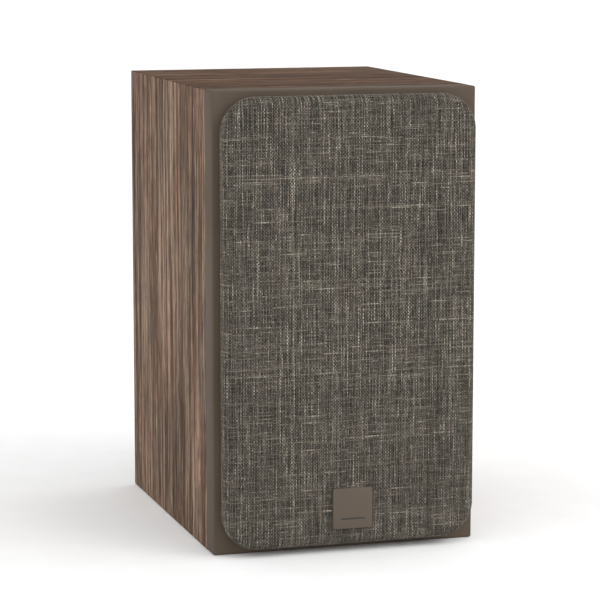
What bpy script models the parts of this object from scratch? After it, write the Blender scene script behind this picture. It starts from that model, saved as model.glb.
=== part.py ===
"""Bookshelf speaker: a two-way ported cabinet with a pull-off cloth grille.

Metres, +Z up, the front towards -Y. The origin is the centre of the underside.
Pieces of the front are modelled in a frame whose Z points out of the baffle, and pieces of
the back in one whose Z points out of the rear panel; in both, Y is up.
"""

import math

import bmesh
import bpy
from mathutils import Matrix, Vector

MM = 0.001
GAP = 0.3 * MM  # between two pieces that touch
HAIR = 0.1 * MM  # at the glued mitres of the cabinet

# Cabinet
WIDTH, HEIGHT, DEPTH = 162 * MM, 274 * MM, 203 * MM
WALL = 12 * MM
BAFFLE = 15 * MM
BAFFLE_ROUNDING = 1.8 * MM
CORNER_ROUNDING = 0.6 * MM

# Grille
CLOTH_WIDTH, CLOTH_HEIGHT = 155 * MM, 266.5 * MM
CLOTH_MIDDLE = 137.5 * MM  # height of the grille's centre
CLOTH_CORNER = 21 * MM
CLOTH_FRONT, CLOTH_BACK = 15.3 * MM, 1.5 * MM
CLOTH_THICKNESS = 1 * MM
FRONT_ROLL, BACK_ROLL = 6 * MM, 4 * MM
FRAME_INSET = CLOTH_THICKNESS + GAP
RAIL = 9 * MM
BADGE_SIDE, BADGE_THICKNESS = 24.5 * MM, 1.2 * MM
BADGE_HEIGHT = 27 * MM  # height of the badge's centre
PEG_X, PEG_HEIGHTS = 62 * MM, (17 * MM, 258 * MM)
PEG_RADIUS, PEG_LENGTH = 3 * MM, 8 * MM
SOCKET_RADIUS = 4.7 * MM

# Drivers
WOOFER_HEIGHT, TWEETER_HEIGHT = 88 * MM, 216.5 * MM
WOOFER_RADIUS, WOOFER_HOLE = 72.5 * MM, 61.5 * MM
WOOFER_SCREW_CIRCLE = 68 * MM
TWEETER_RADIUS, TWEETER_HOLE = 49 * MM, 38 * MM
TWEETER_SCREW_CIRCLE = 43.5 * MM
FLANGE = 4 * MM
SCREW_SHANK = 1.7 * MM

# Back
PORT_HEIGHT, PORT_RADIUS, PORT_WALL = 188 * MM, 19 * MM, 2 * MM
PORT_MOUTH, PORT_FLANGE, PORT_DEPTH = 30 * MM, 34.5 * MM, 112 * MM
TERMINAL_HEIGHT = 84 * MM
TERMINAL_WIDTH, TERMINAL_TALL = 84 * MM, 54 * MM
TERMINAL_SCREW_X, TERMINAL_SCREW_Y = 34.5 * MM, 19.5 * MM
POST_X, STEM_RADIUS, SOCKET_BORE = 18 * MM, 3 * MM, 2 * MM
CAP_END = 14.2 * MM
KEYHOLE_HEIGHT = 243 * MM
KEYHOLE_WIDTH, KEYHOLE_TALL, KEYHOLE_SHEET = 50 * MM, 24 * MM, 1.5 * MM
KEYHOLE_SCREW_X = 19 * MM
KEYHOLE_ENTRY, KEYHOLE_SLOT = 4.6 * MM, 2.4 * MM  # radius of the round entry, half the slot's width
KEYHOLE_DROP, KEYHOLE_RISE = -4 * MM, 5.5 * MM  # centres of the entry and of the slot's end

# Facets round a full turn
FINE, MEDIUM, COARSE = 32, 24, 12

MATERIALS = {
    "walnut_vinyl": ((0.125, 0.082, 0.057), 0.45, 0.0),
    "baffle_lacquer": ((0.105, 0.088, 0.072), 0.5, 0.0),
    "grille_cloth": ((0.135, 0.122, 0.104), 0.95, 0.0),
    "badge": ((0.15, 0.125, 0.105), 0.35, 0.4),
    "black_plastic": ((0.02, 0.02, 0.022), 0.45, 0.0),
    "rubber": ((0.018, 0.018, 0.018), 0.7, 0.0),
    "cone_pulp": ((0.06, 0.04, 0.03), 0.8, 0.0),
    "textile_dome": ((0.015, 0.015, 0.016), 0.75, 0.0),
    "spider_cloth": ((0.45, 0.3, 0.12), 0.9, 0.0),
    "ferrite": ((0.04, 0.04, 0.042), 0.6, 0.1),
    "steel": ((0.5, 0.5, 0.5), 0.35, 1.0),
    "black_steel": ((0.03, 0.03, 0.03), 0.4, 0.9),
    "gilt_brass": ((0.75, 0.55, 0.22), 0.25, 1.0),
    "copper": ((0.6, 0.28, 0.14), 0.35, 0.9),
    "red_plastic": ((0.45, 0.02, 0.02), 0.4, 0.0),
    "circuit_board": ((0.03, 0.12, 0.05), 0.5, 0.0),
    "capacitor_film": ((0.5, 0.32, 0.05), 0.4, 0.0),
    "cable_sheath": ((0.3, 0.3, 0.3), 0.5, 0.0),
    "wadding": ((0.75, 0.75, 0.72), 1.0, 0.0),
}


# ---------------------------------------------------------------- scene and frames


def clear_scene():
    for obj in list(bpy.data.objects):
        bpy.data.objects.remove(obj)


def new_collection(name):
    collection = bpy.data.collections.new(name)
    bpy.context.scene.collection.children.link(collection)
    return collection


def make_materials():
    for name, (colour, roughness, metallic) in MATERIALS.items():
        material = bpy.data.materials.new(name)
        material.use_nodes = True
        shader = material.node_tree.nodes["Principled BSDF"]
        shader.inputs["Base Color"].default_value = (*colour, 1.0)
        shader.inputs["Roughness"].default_value = roughness
        shader.inputs["Metallic"].default_value = metallic


def make_frame(name, location, facing="front"):
    """An empty whose Z points out of the front or the back of the cabinet and whose Y is up."""
    frame = bpy.data.objects.new(name, None)
    frame.location = location
    frame.rotation_euler = (math.pi / 2, 0, 0 if facing == "front" else math.pi)
    PARTS.objects.link(frame)
    return frame


def make_object(name, mesh, material, parent, location=(0, 0, 0)):
    obj = bpy.data.objects.new(name, mesh)
    obj.location = location
    obj.parent = parent
    if material is None:
        CUTTERS.objects.link(obj)
        obj.hide_render = True
        obj.display_type = "WIRE"
    else:
        PARTS.objects.link(obj)
        mesh.materials.append(bpy.data.materials[material])
    return obj


def boolean(target, other, operation):
    modifier = target.modifiers.new(f"{operation} {other.name}", "BOOLEAN")
    modifier.operation = operation
    modifier.object = other
    modifier.solver = "EXACT"


def cut(target, *cutters):
    for cutter in cutters:
        boolean(target, cutter, "DIFFERENCE")


def join(target, *others):
    """Welds other shapes onto the target; each is made with no material, as a helper."""
    for other in others:
        boolean(target, other, "UNION")


# ---------------------------------------------------------------- shapes


def signed_area(points):
    following = points[1:] + points[:1]
    return sum(a[0] * b[1] - b[0] * a[1] for a, b in zip(points, following)) / 2


def arc(centre, radius, start, end, pieces):
    """Points of an arc, from start to end degrees, ends included."""
    angles = [math.radians(start + (end - start) * i / pieces) for i in range(pieces + 1)]
    return [(centre[0] + radius * math.cos(a), centre[1] + radius * math.sin(a)) for a in angles]


def thickened(line, thickness):
    """The closed outline of a sheet whose middle line is given, as (radius, height) points."""
    upper, lower = [], []
    for i, (x, y) in enumerate(line):
        before, after = line[max(i - 1, 0)], line[min(i + 1, len(line) - 1)]
        normal = Vector((before[1] - after[1], after[0] - before[0])).normalized()
        if x < 1e-9:
            normal = Vector((0, 1 if normal.y > 0 else -1))
        offset = normal * thickness / 2
        upper.append((x + offset.x, y + offset.y))
        lower.append((x - offset.x, y - offset.y))
    return upper + lower[::-1]


def turned(name, profile, material, parent, location=(0, 0, 0), segments=FINE):
    """A solid of revolution about Z. The profile is a loop, or a line that starts and ends on Z."""
    if signed_area(profile) > 0:
        profile = profile[::-1]
    count = len(profile)
    touches_axis = min(radius for radius, _ in profile) < 1e-9
    edges = [(i, i + 1) for i in range(count - 1)]
    if touches_axis:
        while profile[0][0] > 1e-9 or profile[-1][0] > 1e-9:
            profile = profile[1:] + profile[:1]
    else:
        edges.append((count - 1, 0))
    mesh = bpy.data.meshes.new(name)
    mesh.from_pydata([(radius, 0, height) for radius, height in profile], edges, [])
    obj = make_object(name, mesh, material, parent, location)
    screw = obj.modifiers.new("Turn", "SCREW")
    screw.steps = screw.render_steps = segments
    screw.use_merge_vertices = True
    screw.merge_threshold = 0.01 * MM
    screw.use_smooth_shade = True
    return obj


def disc(radius, low, high):
    return [(0, high), (radius, high), (radius, low), (0, low)]


def ring(inner, outer, low, high):
    return [(inner, high), (outer, high), (outer, low), (inner, low)]


def drill(name, radius, low, high, parent, location, segments=COARSE):
    return turned(name, disc(radius, low, high), None, parent, location, segments)


def rounded_outline(width, height, radius, pieces=4, centre=(0, 0)):
    """A rectangle with round corners, anticlockwise."""
    points = []
    for corner in range(4):
        sign_x = 1 if corner in (0, 3) else -1
        sign_y = 1 if corner in (0, 1) else -1
        middle = (
            centre[0] + sign_x * (width / 2 - radius),
            centre[1] + sign_y * (height / 2 - radius),
        )
        points += arc(middle, radius, 90 * corner, 90 * corner + 90, pieces)
    return points


def prism(name, outline, low, high, material, parent, location=(0, 0, 0)):
    """A flat outline in XY, made thick from low to high along Z."""
    curve = bpy.data.curves.new(name, "CURVE")
    curve.dimensions = "2D"
    curve.fill_mode = "BOTH"
    curve.extrude = (high - low) / 2
    spline = curve.splines.new("POLY")
    spline.points.add(len(outline) - 1)
    spline.use_cyclic_u = True
    for point, (x, y) in zip(spline.points, outline):
        point.co = (x, y, 0, 1)
    source = bpy.data.objects.new(name + " outline", curve)
    CUTTERS.objects.link(source)
    bpy.context.view_layer.update()
    graph = bpy.context.evaluated_depsgraph_get()
    mesh = bpy.data.meshes.new_from_object(source.evaluated_get(graph))
    mesh.name = name
    bpy.data.objects.remove(source)
    bpy.data.curves.remove(curve)
    shape = bmesh.new()
    shape.from_mesh(mesh)
    bmesh.ops.remove_doubles(shape, verts=shape.verts, dist=0.001 * MM)
    bmesh.ops.translate(shape, verts=shape.verts, vec=(0, 0, (low + high) / 2))
    bmesh.ops.recalc_face_normals(shape, faces=shape.faces)
    shape.to_mesh(mesh)
    shape.free()
    mesh.materials.clear()
    return make_object(name, mesh, material, parent, location)


def block(width, height, low, high, corner=0, corner_pieces=4, front=0, back=0, roll_pieces=3):
    """A box from low to high along Z, as a bmesh, with its corners, front and back edges rounded."""
    shape = bmesh.new()
    bmesh.ops.create_cube(shape, size=1)
    bmesh.ops.scale(shape, vec=(width, height, high - low), verts=shape.verts)
    bmesh.ops.translate(shape, vec=(0, 0, (low + high) / 2), verts=shape.verts)
    if corner:
        upright = [e for e in shape.edges if abs(e.verts[0].co.z - e.verts[1].co.z) > 1e-6]
        bmesh.ops.bevel(
            shape, geom=upright, offset=corner, segments=corner_pieces, profile=0.5, affect="EDGES"
        )
    for level, radius in ((high, front), (low, back)):
        if radius:
            rim = [e for e in shape.edges if all(abs(v.co.z - level) < 1e-6 for v in e.verts)]
            rim = [e for e in rim if e.calc_face_angle() > 1]
            bmesh.ops.bevel(
                shape, geom=rim, offset=radius, segments=roll_pieces, profile=0.5, affect="EDGES"
            )
    return shape


def solid(name, shape, material, parent, location=(0, 0, 0)):
    """An object from a bmesh, shaded smooth except at its sharp edges."""
    mesh = bpy.data.meshes.new(name)
    shape.to_mesh(mesh)
    shape.free()
    mesh.shade_smooth()
    mesh.set_sharp_from_angle(angle=math.radians(35))
    return make_object(name, mesh, material, parent, location)


def tube(name, points, radius, material, parent):
    """A round lead through hand-placed points, smoothed, with filled ends."""
    curve = bpy.data.curves.new(name, "CURVE")
    curve.dimensions = "3D"
    curve.bevel_depth = radius
    curve.bevel_resolution = 2
    curve.use_fill_caps = True
    route = smooth_route([Vector(p) for p in points], 3)
    spline = curve.splines.new("POLY")
    spline.points.add(len(route) - 1)
    for point, place in zip(spline.points, route):
        point.co = (*place, 1)
    return make_curve_object(name, curve, material, parent)


def make_curve_object(name, curve, material, parent):
    obj = bpy.data.objects.new(name, curve)
    obj.parent = parent
    PARTS.objects.link(obj)
    curve.materials.append(bpy.data.materials[material])
    return obj


def smooth_route(points, steps):
    """Catmull-Rom points through the given ones."""
    padded = [2 * points[0] - points[1], *points, 2 * points[-1] - points[-2]]
    route = []
    for i in range(1, len(padded) - 2):
        a, b, c, d = padded[i - 1 : i + 3]
        for step in range(steps):
            t = step / steps
            route.append(
                0.5
                * (
                    2 * b
                    + (c - a) * t
                    + (2 * a - 5 * b + 4 * c - d) * t**2
                    + (3 * b - a - 3 * c + d) * t**3
                )
            )
    return [*route, points[-1]]


def screw_profile(head, head_height, shank, length):
    """A pan-head screw whose head sits on Z = 0."""
    return [
        (0, head_height),
        (head * 0.7, head_height),
        (head, head_height * 0.45),
        (head, 0),
        (shank, 0),
        (shank, -length),
        (0, -length),
    ]


def screw(name, head, length, material, parent, location, shank=SCREW_SHANK, head_height=1.8 * MM):
    """A pan-head screw with a six-sided drive recess."""
    body = turned(
        name, screw_profile(head, head_height, shank, length), material, parent, location, COARSE
    )
    socket = drill(name + " drive", head * 0.42, head_height * 0.35, head_height * 2, parent, location, 6)
    cut(body, socket)
    return body


def round_the_circle(count, radius, start):
    return [
        (radius * math.cos(math.radians(start + i * 360 / count)),
         radius * math.sin(math.radians(start + i * 360 / count)))
        for i in range(count)
    ]


# ---------------------------------------------------------------- cabinet


def mitred_panel(name, span, across, turn, frame):
    """One wall of the folded sleeve: span wide, with its outer face `across` from the middle."""
    half, r, inset = span / 2, CORNER_ROUNDING, HAIR / 2 * math.sqrt(2)
    top = across
    corner = arc((half - r, top - r), r, 45, 90, 2)
    right = [(half - WALL - inset, top - WALL), (corner[0][0] - inset, corner[0][1]), *corner[1:]]
    left = [(-x, y) for x, y in reversed(right)]
    turned_points = [Matrix.Rotation(turn, 2) @ Vector(p) for p in right + left]
    return prism(
        name, [tuple(p) for p in turned_points], -DEPTH, -BAFFLE - GAP, "walnut_vinyl",
        frame, (0, HEIGHT / 2, 0),
    )


def make_sleeve(front):
    mitred_panel("top_panel", WIDTH, HEIGHT / 2, 0, front)
    mitred_panel("bottom_panel", WIDTH, HEIGHT / 2, math.pi, front)
    mitred_panel("left_side_panel", HEIGHT, WIDTH / 2, math.pi / 2, front)
    mitred_panel("right_side_panel", HEIGHT, WIDTH / 2, -math.pi / 2, front)


def make_baffle(front):
    shape = block(WIDTH, HEIGHT, -BAFFLE, 0)
    rounded = [e for e in shape.edges if max(v.co.z for v in e.verts) > -1e-6]
    bmesh.ops.bevel(
        shape, geom=rounded, offset=BAFFLE_ROUNDING, segments=3, profile=0.5, affect="EDGES"
    )
    baffle = solid("front_baffle", shape, "baffle_lacquer", front, (0, HEIGHT / 2, 0))
    recess = FLANGE + GAP
    for name, height, flange, hole in (
        ("woofer seat", WOOFER_HEIGHT, WOOFER_RADIUS, WOOFER_HOLE),
        ("tweeter seat", TWEETER_HEIGHT, TWEETER_RADIUS, TWEETER_HOLE),
    ):
        outer = flange + GAP
        profile = [
            (0, 5 * MM), (outer, 5 * MM), (outer, -recess), (hole, -recess),
            (hole, -20 * MM), (0, -20 * MM),
        ]
        cut(baffle, turned(name, profile, None, front, (0, height, 0), FINE))
    for i, (x, y) in enumerate(driver_screw_places()):
        cut(baffle, drill(f"pilot {i}", SCREW_SHANK + GAP, -14.2 * MM, -3 * MM, front, (x, y, 0), 8))
    for i, (x, y) in enumerate(peg_places()):
        cut(baffle, drill(f"socket seat {i}", SOCKET_RADIUS + GAP, -10.5 * MM, 5 * MM, front, (x, y, 0)))
    return baffle


def driver_screw_places():
    places = [(x, y + WOOFER_HEIGHT) for x, y in round_the_circle(4, WOOFER_SCREW_CIRCLE, 45)]
    return places + [
        (x, y + TWEETER_HEIGHT) for x, y in round_the_circle(3, TWEETER_SCREW_CIRCLE, 90)
    ]


def peg_places():
    return [(x, y) for y in PEG_HEIGHTS for x in (-PEG_X, PEG_X)]


def make_rear_panel(rear):
    outline = rounded_outline(
        WIDTH - 2 * WALL - 2 * GAP, HEIGHT - 2 * WALL - 2 * GAP, 0.5 * MM, 1, (0, HEIGHT / 2)
    )
    panel = prism("rear_panel", outline, -WALL, 0, "walnut_vinyl", rear)
    port_seat = [
        (0, 5 * MM), (PORT_FLANGE + GAP, 5 * MM), (PORT_FLANGE + GAP, -2.3 * MM),
        (PORT_MOUTH + 1.5 * MM, -2.3 * MM), (PORT_MOUTH + 1.5 * MM, -20 * MM), (0, -20 * MM),
    ]
    cut(panel, turned("port seat", port_seat, None, rear, (0, PORT_HEIGHT, 0), FINE))
    plate_seat = rounded_outline(TERMINAL_WIDTH + 2 * GAP, TERMINAL_TALL + 2 * GAP, 8.3 * MM)
    cut(panel, prism("plate seat", plate_seat, -2.3 * MM, 5 * MM, None, rear, (0, TERMINAL_HEIGHT, 0)))
    opening = rounded_outline(58 * MM, 34 * MM, 6 * MM, 2)
    cut(panel, prism("plate opening", opening, -20 * MM, 0, None, rear, (0, TERMINAL_HEIGHT, 0)))
    bracket_seat = rounded_outline(KEYHOLE_WIDTH + 2 * GAP, KEYHOLE_TALL + 2 * GAP, 3.3 * MM, 2)
    cut(panel, prism("bracket seat", bracket_seat, -1.8 * MM, 5 * MM, None, rear, (0, KEYHOLE_HEIGHT, 0)))
    pocket = rounded_outline(13 * MM, 20 * MM, 4 * MM, 2)
    cut(panel, prism("pocket", pocket, -9 * MM, 0, None, rear, (0, KEYHOLE_HEIGHT, 0)))
    for i, (x, y) in enumerate(rear_screw_places()):
        cut(panel, drill(f"rear pilot {i}", SCREW_SHANK + GAP, -10.5 * MM, 0, rear, (x, y, 0), 8))


def rear_screw_places():
    terminal = [
        (x, TERMINAL_HEIGHT + y)
        for y in (-TERMINAL_SCREW_Y, TERMINAL_SCREW_Y)
        for x in (-TERMINAL_SCREW_X, TERMINAL_SCREW_X)
    ]
    return terminal + [(x, KEYHOLE_HEIGHT) for x in (-KEYHOLE_SCREW_X, KEYHOLE_SCREW_X)]


def make_sockets(front):
    lip = [
        (3.4 * MM, -8.9 * MM), (3.4 * MM, 0.6 * MM), (3.8 * MM, 0.9 * MM), (5.4 * MM, 0.9 * MM),
        (5.8 * MM, 0.3 * MM), (SOCKET_RADIUS, 0.3 * MM), (SOCKET_RADIUS, -10 * MM), (0, -10 * MM),
        (0, -8.9 * MM),
    ]
    for i, (x, y) in enumerate(peg_places()):
        turned(f"grille_socket_{i + 1}", lip, "rubber", front, (x, y, 0), COARSE)


# ---------------------------------------------------------------- grille


def make_grille(front):
    middle = (0, CLOTH_MIDDLE, 0)
    cloth = block(
        CLOTH_WIDTH, CLOTH_HEIGHT, CLOTH_BACK, CLOTH_FRONT, CLOTH_CORNER, 6, FRONT_ROLL, BACK_ROLL
    )
    behind = [f for f in cloth.faces if f.normal.z < -0.99]
    bmesh.ops.delete(cloth, geom=behind, context="FACES")
    cover = solid("grille_cloth", cloth, "grille_cloth", front, middle)
    wall = cover.modifiers.new("Cloth thickness", "SOLIDIFY")
    wall.thickness = CLOTH_THICKNESS
    wall.offset = -1
    wall.use_even_offset = True
    make_grille_frame(front, middle)
    plate = block(
        BADGE_SIDE, BADGE_SIDE, CLOTH_FRONT + GAP, CLOTH_FRONT + GAP + BADGE_THICKNESS,
        0.8 * MM, 2, 0.25 * MM, 0, 1,
    )
    solid("grille_badge", plate, "badge", front, (0, BADGE_HEIGHT, 0))


def make_grille_frame(front, middle):
    inset = FRAME_INSET
    low, high = CLOTH_BACK + inset, CLOTH_FRONT - inset
    shape = block(
        CLOTH_WIDTH - 2 * inset, CLOTH_HEIGHT - 2 * inset, low, high, CLOTH_CORNER - inset, 6,
        FRONT_ROLL - inset, BACK_ROLL - inset,
    )
    frame = solid("grille_frame", shape, "black_plastic", front, middle)
    window = CLOTH_WIDTH - 2 * inset - 2 * RAIL
    for name, bottom, top, radius in (
        ("woofer window", 18 * MM, 156 * MM, 45 * MM),
        ("tweeter window", 165 * MM, 252 * MM, 14 * MM),
    ):
        outline = rounded_outline(window, top - bottom, radius, 5, (0, (top + bottom) / 2))
        cut(frame, prism(name, outline, -5 * MM, 30 * MM, None, front))
    tab = rounded_outline(30 * MM, 30 * MM, 4 * MM, 2, (0, BADGE_HEIGHT))
    join(frame, prism("badge tab", tab, high - 3 * MM, high, None, front))
    for i, (x, y) in enumerate(peg_places()):
        profile = [
            (0, low + 2 * MM), (4.6 * MM, low + 2 * MM), (4.6 * MM, 1.2 * MM), (PEG_RADIUS, 1.2 * MM),
            (PEG_RADIUS, 1 * MM - PEG_LENGTH), (PEG_RADIUS - 1 * MM, -PEG_LENGTH), (0, -PEG_LENGTH),
        ]
        join(frame, turned(f"peg {i}", profile, None, front, (x, y, 0), COARSE))


# ---------------------------------------------------------------- woofer


def cone_line(inner, outer, pieces=3):
    """The cone's gently curved side, from its neck to its rim, as (radius, height) points."""
    (r0, z0), (r1, z1) = inner, outer
    points = []
    for i in range(pieces + 1):
        t = i / pieces
        points.append((r0 + (r1 - r0) * t, z0 + (z1 - z0) * (t + 0.25 * t * (1 - t))))
    return points


def cap_line(radius, rim, rise, pieces=4):
    """A shallow dome from its top on the axis to its rim."""
    sphere = (radius**2 + rise**2) / (2 * rise)
    full = math.asin(min(1, radius / sphere))
    angles = [full * i / pieces for i in range(pieces + 1)]
    return [(sphere * math.sin(a), rim + rise - sphere * (1 - math.cos(a))) for a in angles]


def make_woofer(axis):
    z = -FLANGE
    basket_profile = [
        (WOOFER_RADIUS, z), (WOOFER_RADIUS, -0.2 * MM), (WOOFER_RADIUS - 0.6 * MM, 0.3 * MM),
        (64 * MM, 0.3 * MM), (63.6 * MM, -2.2 * MM), (57.6 * MM, -2.2 * MM), (57.4 * MM, -5 * MM),
        (43.6 * MM, -28.8 * MM), (38 * MM, -28.8 * MM), (37.5 * MM, -41 * MM), (24 * MM, -41 * MM),
        (24 * MM, -44 * MM), (40 * MM, -44 * MM), (41 * MM, -31.5 * MM), (46 * MM, -30.5 * MM),
        (60 * MM, -6.5 * MM), (60.5 * MM, z),
    ]
    basket = turned("woofer_basket", basket_profile, "black_steel", axis)
    for i, (x, y) in enumerate(round_the_circle(4, 56 * MM, 0)):
        shape = block(30 * MM, 46 * MM, -27 * MM, -8 * MM)
        bmesh.ops.rotate(shape, matrix=Matrix.Rotation(i * math.pi / 2, 3, "Z"), verts=shape.verts)
        cut(basket, solid(f"basket window {i}", shape, None, axis, (x, y, 0)))
    for i, (x, y) in enumerate(round_the_circle(4, WOOFER_SCREW_CIRCLE, 45)):
        cut(basket, drill(f"basket hole {i}", SCREW_SHANK + GAP, -9 * MM, 9 * MM, axis, (x, y, 0), 12))
        place = (x, y, 0.3 * MM + GAP)
        screw(f"woofer_screw_{i + 1}", 3.3 * MM, 13.5 * MM, "black_steel", axis, place)

    roll = [(63.4 * MM, -1.5 * MM), (58.4 * MM, -1.5 * MM)]
    roll += arc((53.4 * MM, -1 * MM), 5 * MM, 0, 180, 6) + [(46 * MM, -1.2 * MM)]
    turned("woofer_surround", thickened(roll, 0.8 * MM), "rubber", axis)
    cone = cone_line((14.2 * MM, -23.5 * MM), (47.6 * MM, -2.5 * MM))
    turned("woofer_cone", thickened(cone, 0.9 * MM), "cone_pulp", axis)
    cap = cap_line(18.5 * MM, -18.6 * MM, 6 * MM)
    turned("woofer_dust_cap", thickened(cap, 0.8 * MM), "cone_pulp", axis, segments=MEDIUM)

    former = [
        (12.7 * MM, -22.5 * MM), (13 * MM, -22.5 * MM), (13 * MM, -43 * MM), (13.6 * MM, -43 * MM),
        (13.6 * MM, -52 * MM), (12.7 * MM, -52 * MM),
    ]
    turned("woofer_voice_coil", former, "copper", axis, segments=MEDIUM)
    waves, inner, outer = 2, 13.4 * MM, 43 * MM
    corrugated = [(inner, -28 * MM)]
    for i in range(2 * waves + 1):
        side = 1 if i % 2 else -1
        radius = inner + (outer - inner) * (0.12 + 0.64 * i / (2 * waves))
        corrugated.append((radius, (-28 + 1.4 * side) * MM))
    corrugated += [(37.6 * MM, -28.2 * MM), (outer, -28.2 * MM)]
    turned("woofer_spider", thickened(corrugated, 0.5 * MM), "spider_cloth", axis, segments=MEDIUM)

    top_plate = ring(14.1 * MM, 36 * MM, -50.3 * MM, -44.3 * MM)
    turned("woofer_top_plate", top_plate, "steel", axis, segments=MEDIUM)
    turned("woofer_magnet", ring(18 * MM, 40 * MM, -64.6 * MM, -50.6 * MM), "ferrite", axis, segments=MEDIUM)
    pole = [
        (4 * MM, -44.6 * MM), (12.2 * MM, -44.6 * MM), (12.2 * MM, -64.9 * MM), (36 * MM, -64.9 * MM),
        (36 * MM, -70.9 * MM), (4 * MM, -70.9 * MM),
    ]
    turned("woofer_yoke", pole, "steel", axis, segments=MEDIUM)


# ---------------------------------------------------------------- tweeter


def make_tweeter(axis):
    z = -FLANGE
    plate_profile = [
        (TWEETER_RADIUS, z), (TWEETER_RADIUS, -0.2 * MM), (TWEETER_RADIUS - 0.6 * MM, 0.3 * MM),
        (36 * MM, 0.3 * MM), (30 * MM, -0.3 * MM), (23 * MM, -2 * MM), (18.6 * MM, -4.6 * MM),
        (18.6 * MM, -8 * MM), (36 * MM, -8 * MM), (36 * MM, z),
    ]
    plate = turned("tweeter_faceplate", plate_profile, "black_plastic", axis)
    for i, (x, y) in enumerate(round_the_circle(3, TWEETER_SCREW_CIRCLE, 90)):
        cut(plate, drill(f"plate hole {i}", SCREW_SHANK + GAP, -9 * MM, 9 * MM, axis, (x, y, 0), 12))
        place = (x, y, 0.3 * MM + GAP)
        screw(f"tweeter_screw_{i + 1}", 3 * MM, 13 * MM, "black_steel", axis, place)

    roll = [(21 * MM, -8.9 * MM)] + arc((16.6 * MM, -8.7 * MM), 1.4 * MM, 0, 180, 4)
    turned("tweeter_surround", thickened(roll, 0.4 * MM), "textile_dome", axis, segments=MEDIUM)
    dome = cap_line(14.6 * MM, -8.8 * MM, 5.6 * MM)
    turned("tweeter_dome", thickened(dome, 0.5 * MM), "textile_dome", axis, segments=MEDIUM)
    former = [
        (13.9 * MM, -9.9 * MM), (14.2 * MM, -9.9 * MM), (14.2 * MM, -12 * MM), (14.6 * MM, -12 * MM),
        (14.6 * MM, -14.8 * MM), (13.9 * MM, -14.8 * MM),
    ]
    turned("tweeter_voice_coil", former, "copper", axis, segments=MEDIUM)
    top_plate = ring(15.2 * MM, 33 * MM, -14.2 * MM, -11 * MM)
    turned("tweeter_top_plate", top_plate, "steel", axis, segments=MEDIUM)
    turned("tweeter_magnet", ring(20 * MM, 36 * MM, -22.5 * MM, -14.5 * MM), "ferrite", axis, segments=MEDIUM)
    pole = [
        (3 * MM, -11.2 * MM), (13.4 * MM, -11.2 * MM), (13.4 * MM, -22.8 * MM), (33 * MM, -22.8 * MM),
        (33 * MM, -26.8 * MM), (3 * MM, -26.8 * MM),
    ]
    turned("tweeter_yoke", pole, "steel", axis, segments=MEDIUM)
    cup = [
        (26 * MM, -27.1 * MM), (26 * MM, -44 * MM), (24 * MM, -46 * MM), (0, -46 * MM),
        (0, -44 * MM), (24 * MM, -44 * MM), (24 * MM, -27.1 * MM),
    ]
    turned("tweeter_rear_cup", cup, "black_plastic", axis, segments=MEDIUM)


# ---------------------------------------------------------------- back


def flare(throat, mouth, start, end, pieces):
    """A quarter ellipse that opens from the throat's radius to the mouth's."""
    points = []
    for i in range(pieces + 1):
        a = math.pi / 2 * i / pieces
        points.append((mouth - (mouth - throat) * math.cos(a), start + (end - start) * math.sin(a)))
    return points


def make_port(rear):
    throat, wall = PORT_RADIUS, PORT_WALL
    inner_end = -PORT_DEPTH
    bore = flare(throat, PORT_MOUTH, -13 * MM, 1 * MM, 4)
    bore_back = flare(throat, 28 * MM, inner_end + 12 * MM, inner_end, 3)
    shell_back = flare(throat + wall, 29 * MM, inner_end + 14 * MM, inner_end + 1.5 * MM, 2)
    shell = flare(throat + wall, PORT_MOUTH + 1.2 * MM, -14 * MM, -2 * MM, 2)
    outer = [
        (PORT_FLANGE, -2 * MM), (PORT_FLANGE, 0.3 * MM), (PORT_FLANGE - 0.8 * MM, 1 * MM),
    ]
    profile = bore_back[::-1] + bore + outer[::-1] + shell[::-1] + shell_back
    turned("port_tube", profile, "black_plastic", rear, (0, PORT_HEIGHT, 0))


def knurled_outline(radius, depth, ribs):
    """A circle with shallow ribs."""
    points = []
    for i in range(2 * ribs):
        angle = math.pi * i / ribs
        r = radius - (depth if i % 2 else 0)
        points.append((r * math.cos(angle), r * math.sin(angle)))
    return points


def make_terminals(rear):
    place = (0, TERMINAL_HEIGHT, 0)
    shape = block(
        TERMINAL_WIDTH, TERMINAL_TALL, -2 * MM, 1 * MM, 8 * MM, 4, 0.8 * MM, 0, 2
    )
    plate = solid("terminal_plate", shape, "black_plastic", rear, place)
    for i, (x, y) in enumerate(rear_screw_places()[:4]):
        cut(plate, drill(f"terminal hole {i}", SCREW_SHANK + GAP, -9 * MM, 9 * MM, rear, (x, y, 0), 12))
        screw(f"terminal_screw_{i + 1}", 3 * MM, 10 * MM, "black_steel", rear, (x, y, 1 * MM + GAP))
    posts = (("plus", POST_X, "red_plastic"), ("minus", -POST_X, "black_plastic"))
    for name, x, plastic in posts:
        axis = make_frame(f"post_axis_{name}", (-x, DEPTH / 2, TERMINAL_HEIGHT), "back")
        cut(plate, drill(f"post hole {name}", STEM_RADIUS + GAP, -9 * MM, 9 * MM, axis, (0, 0, 0)))
        make_post(name, axis, plastic)


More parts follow.
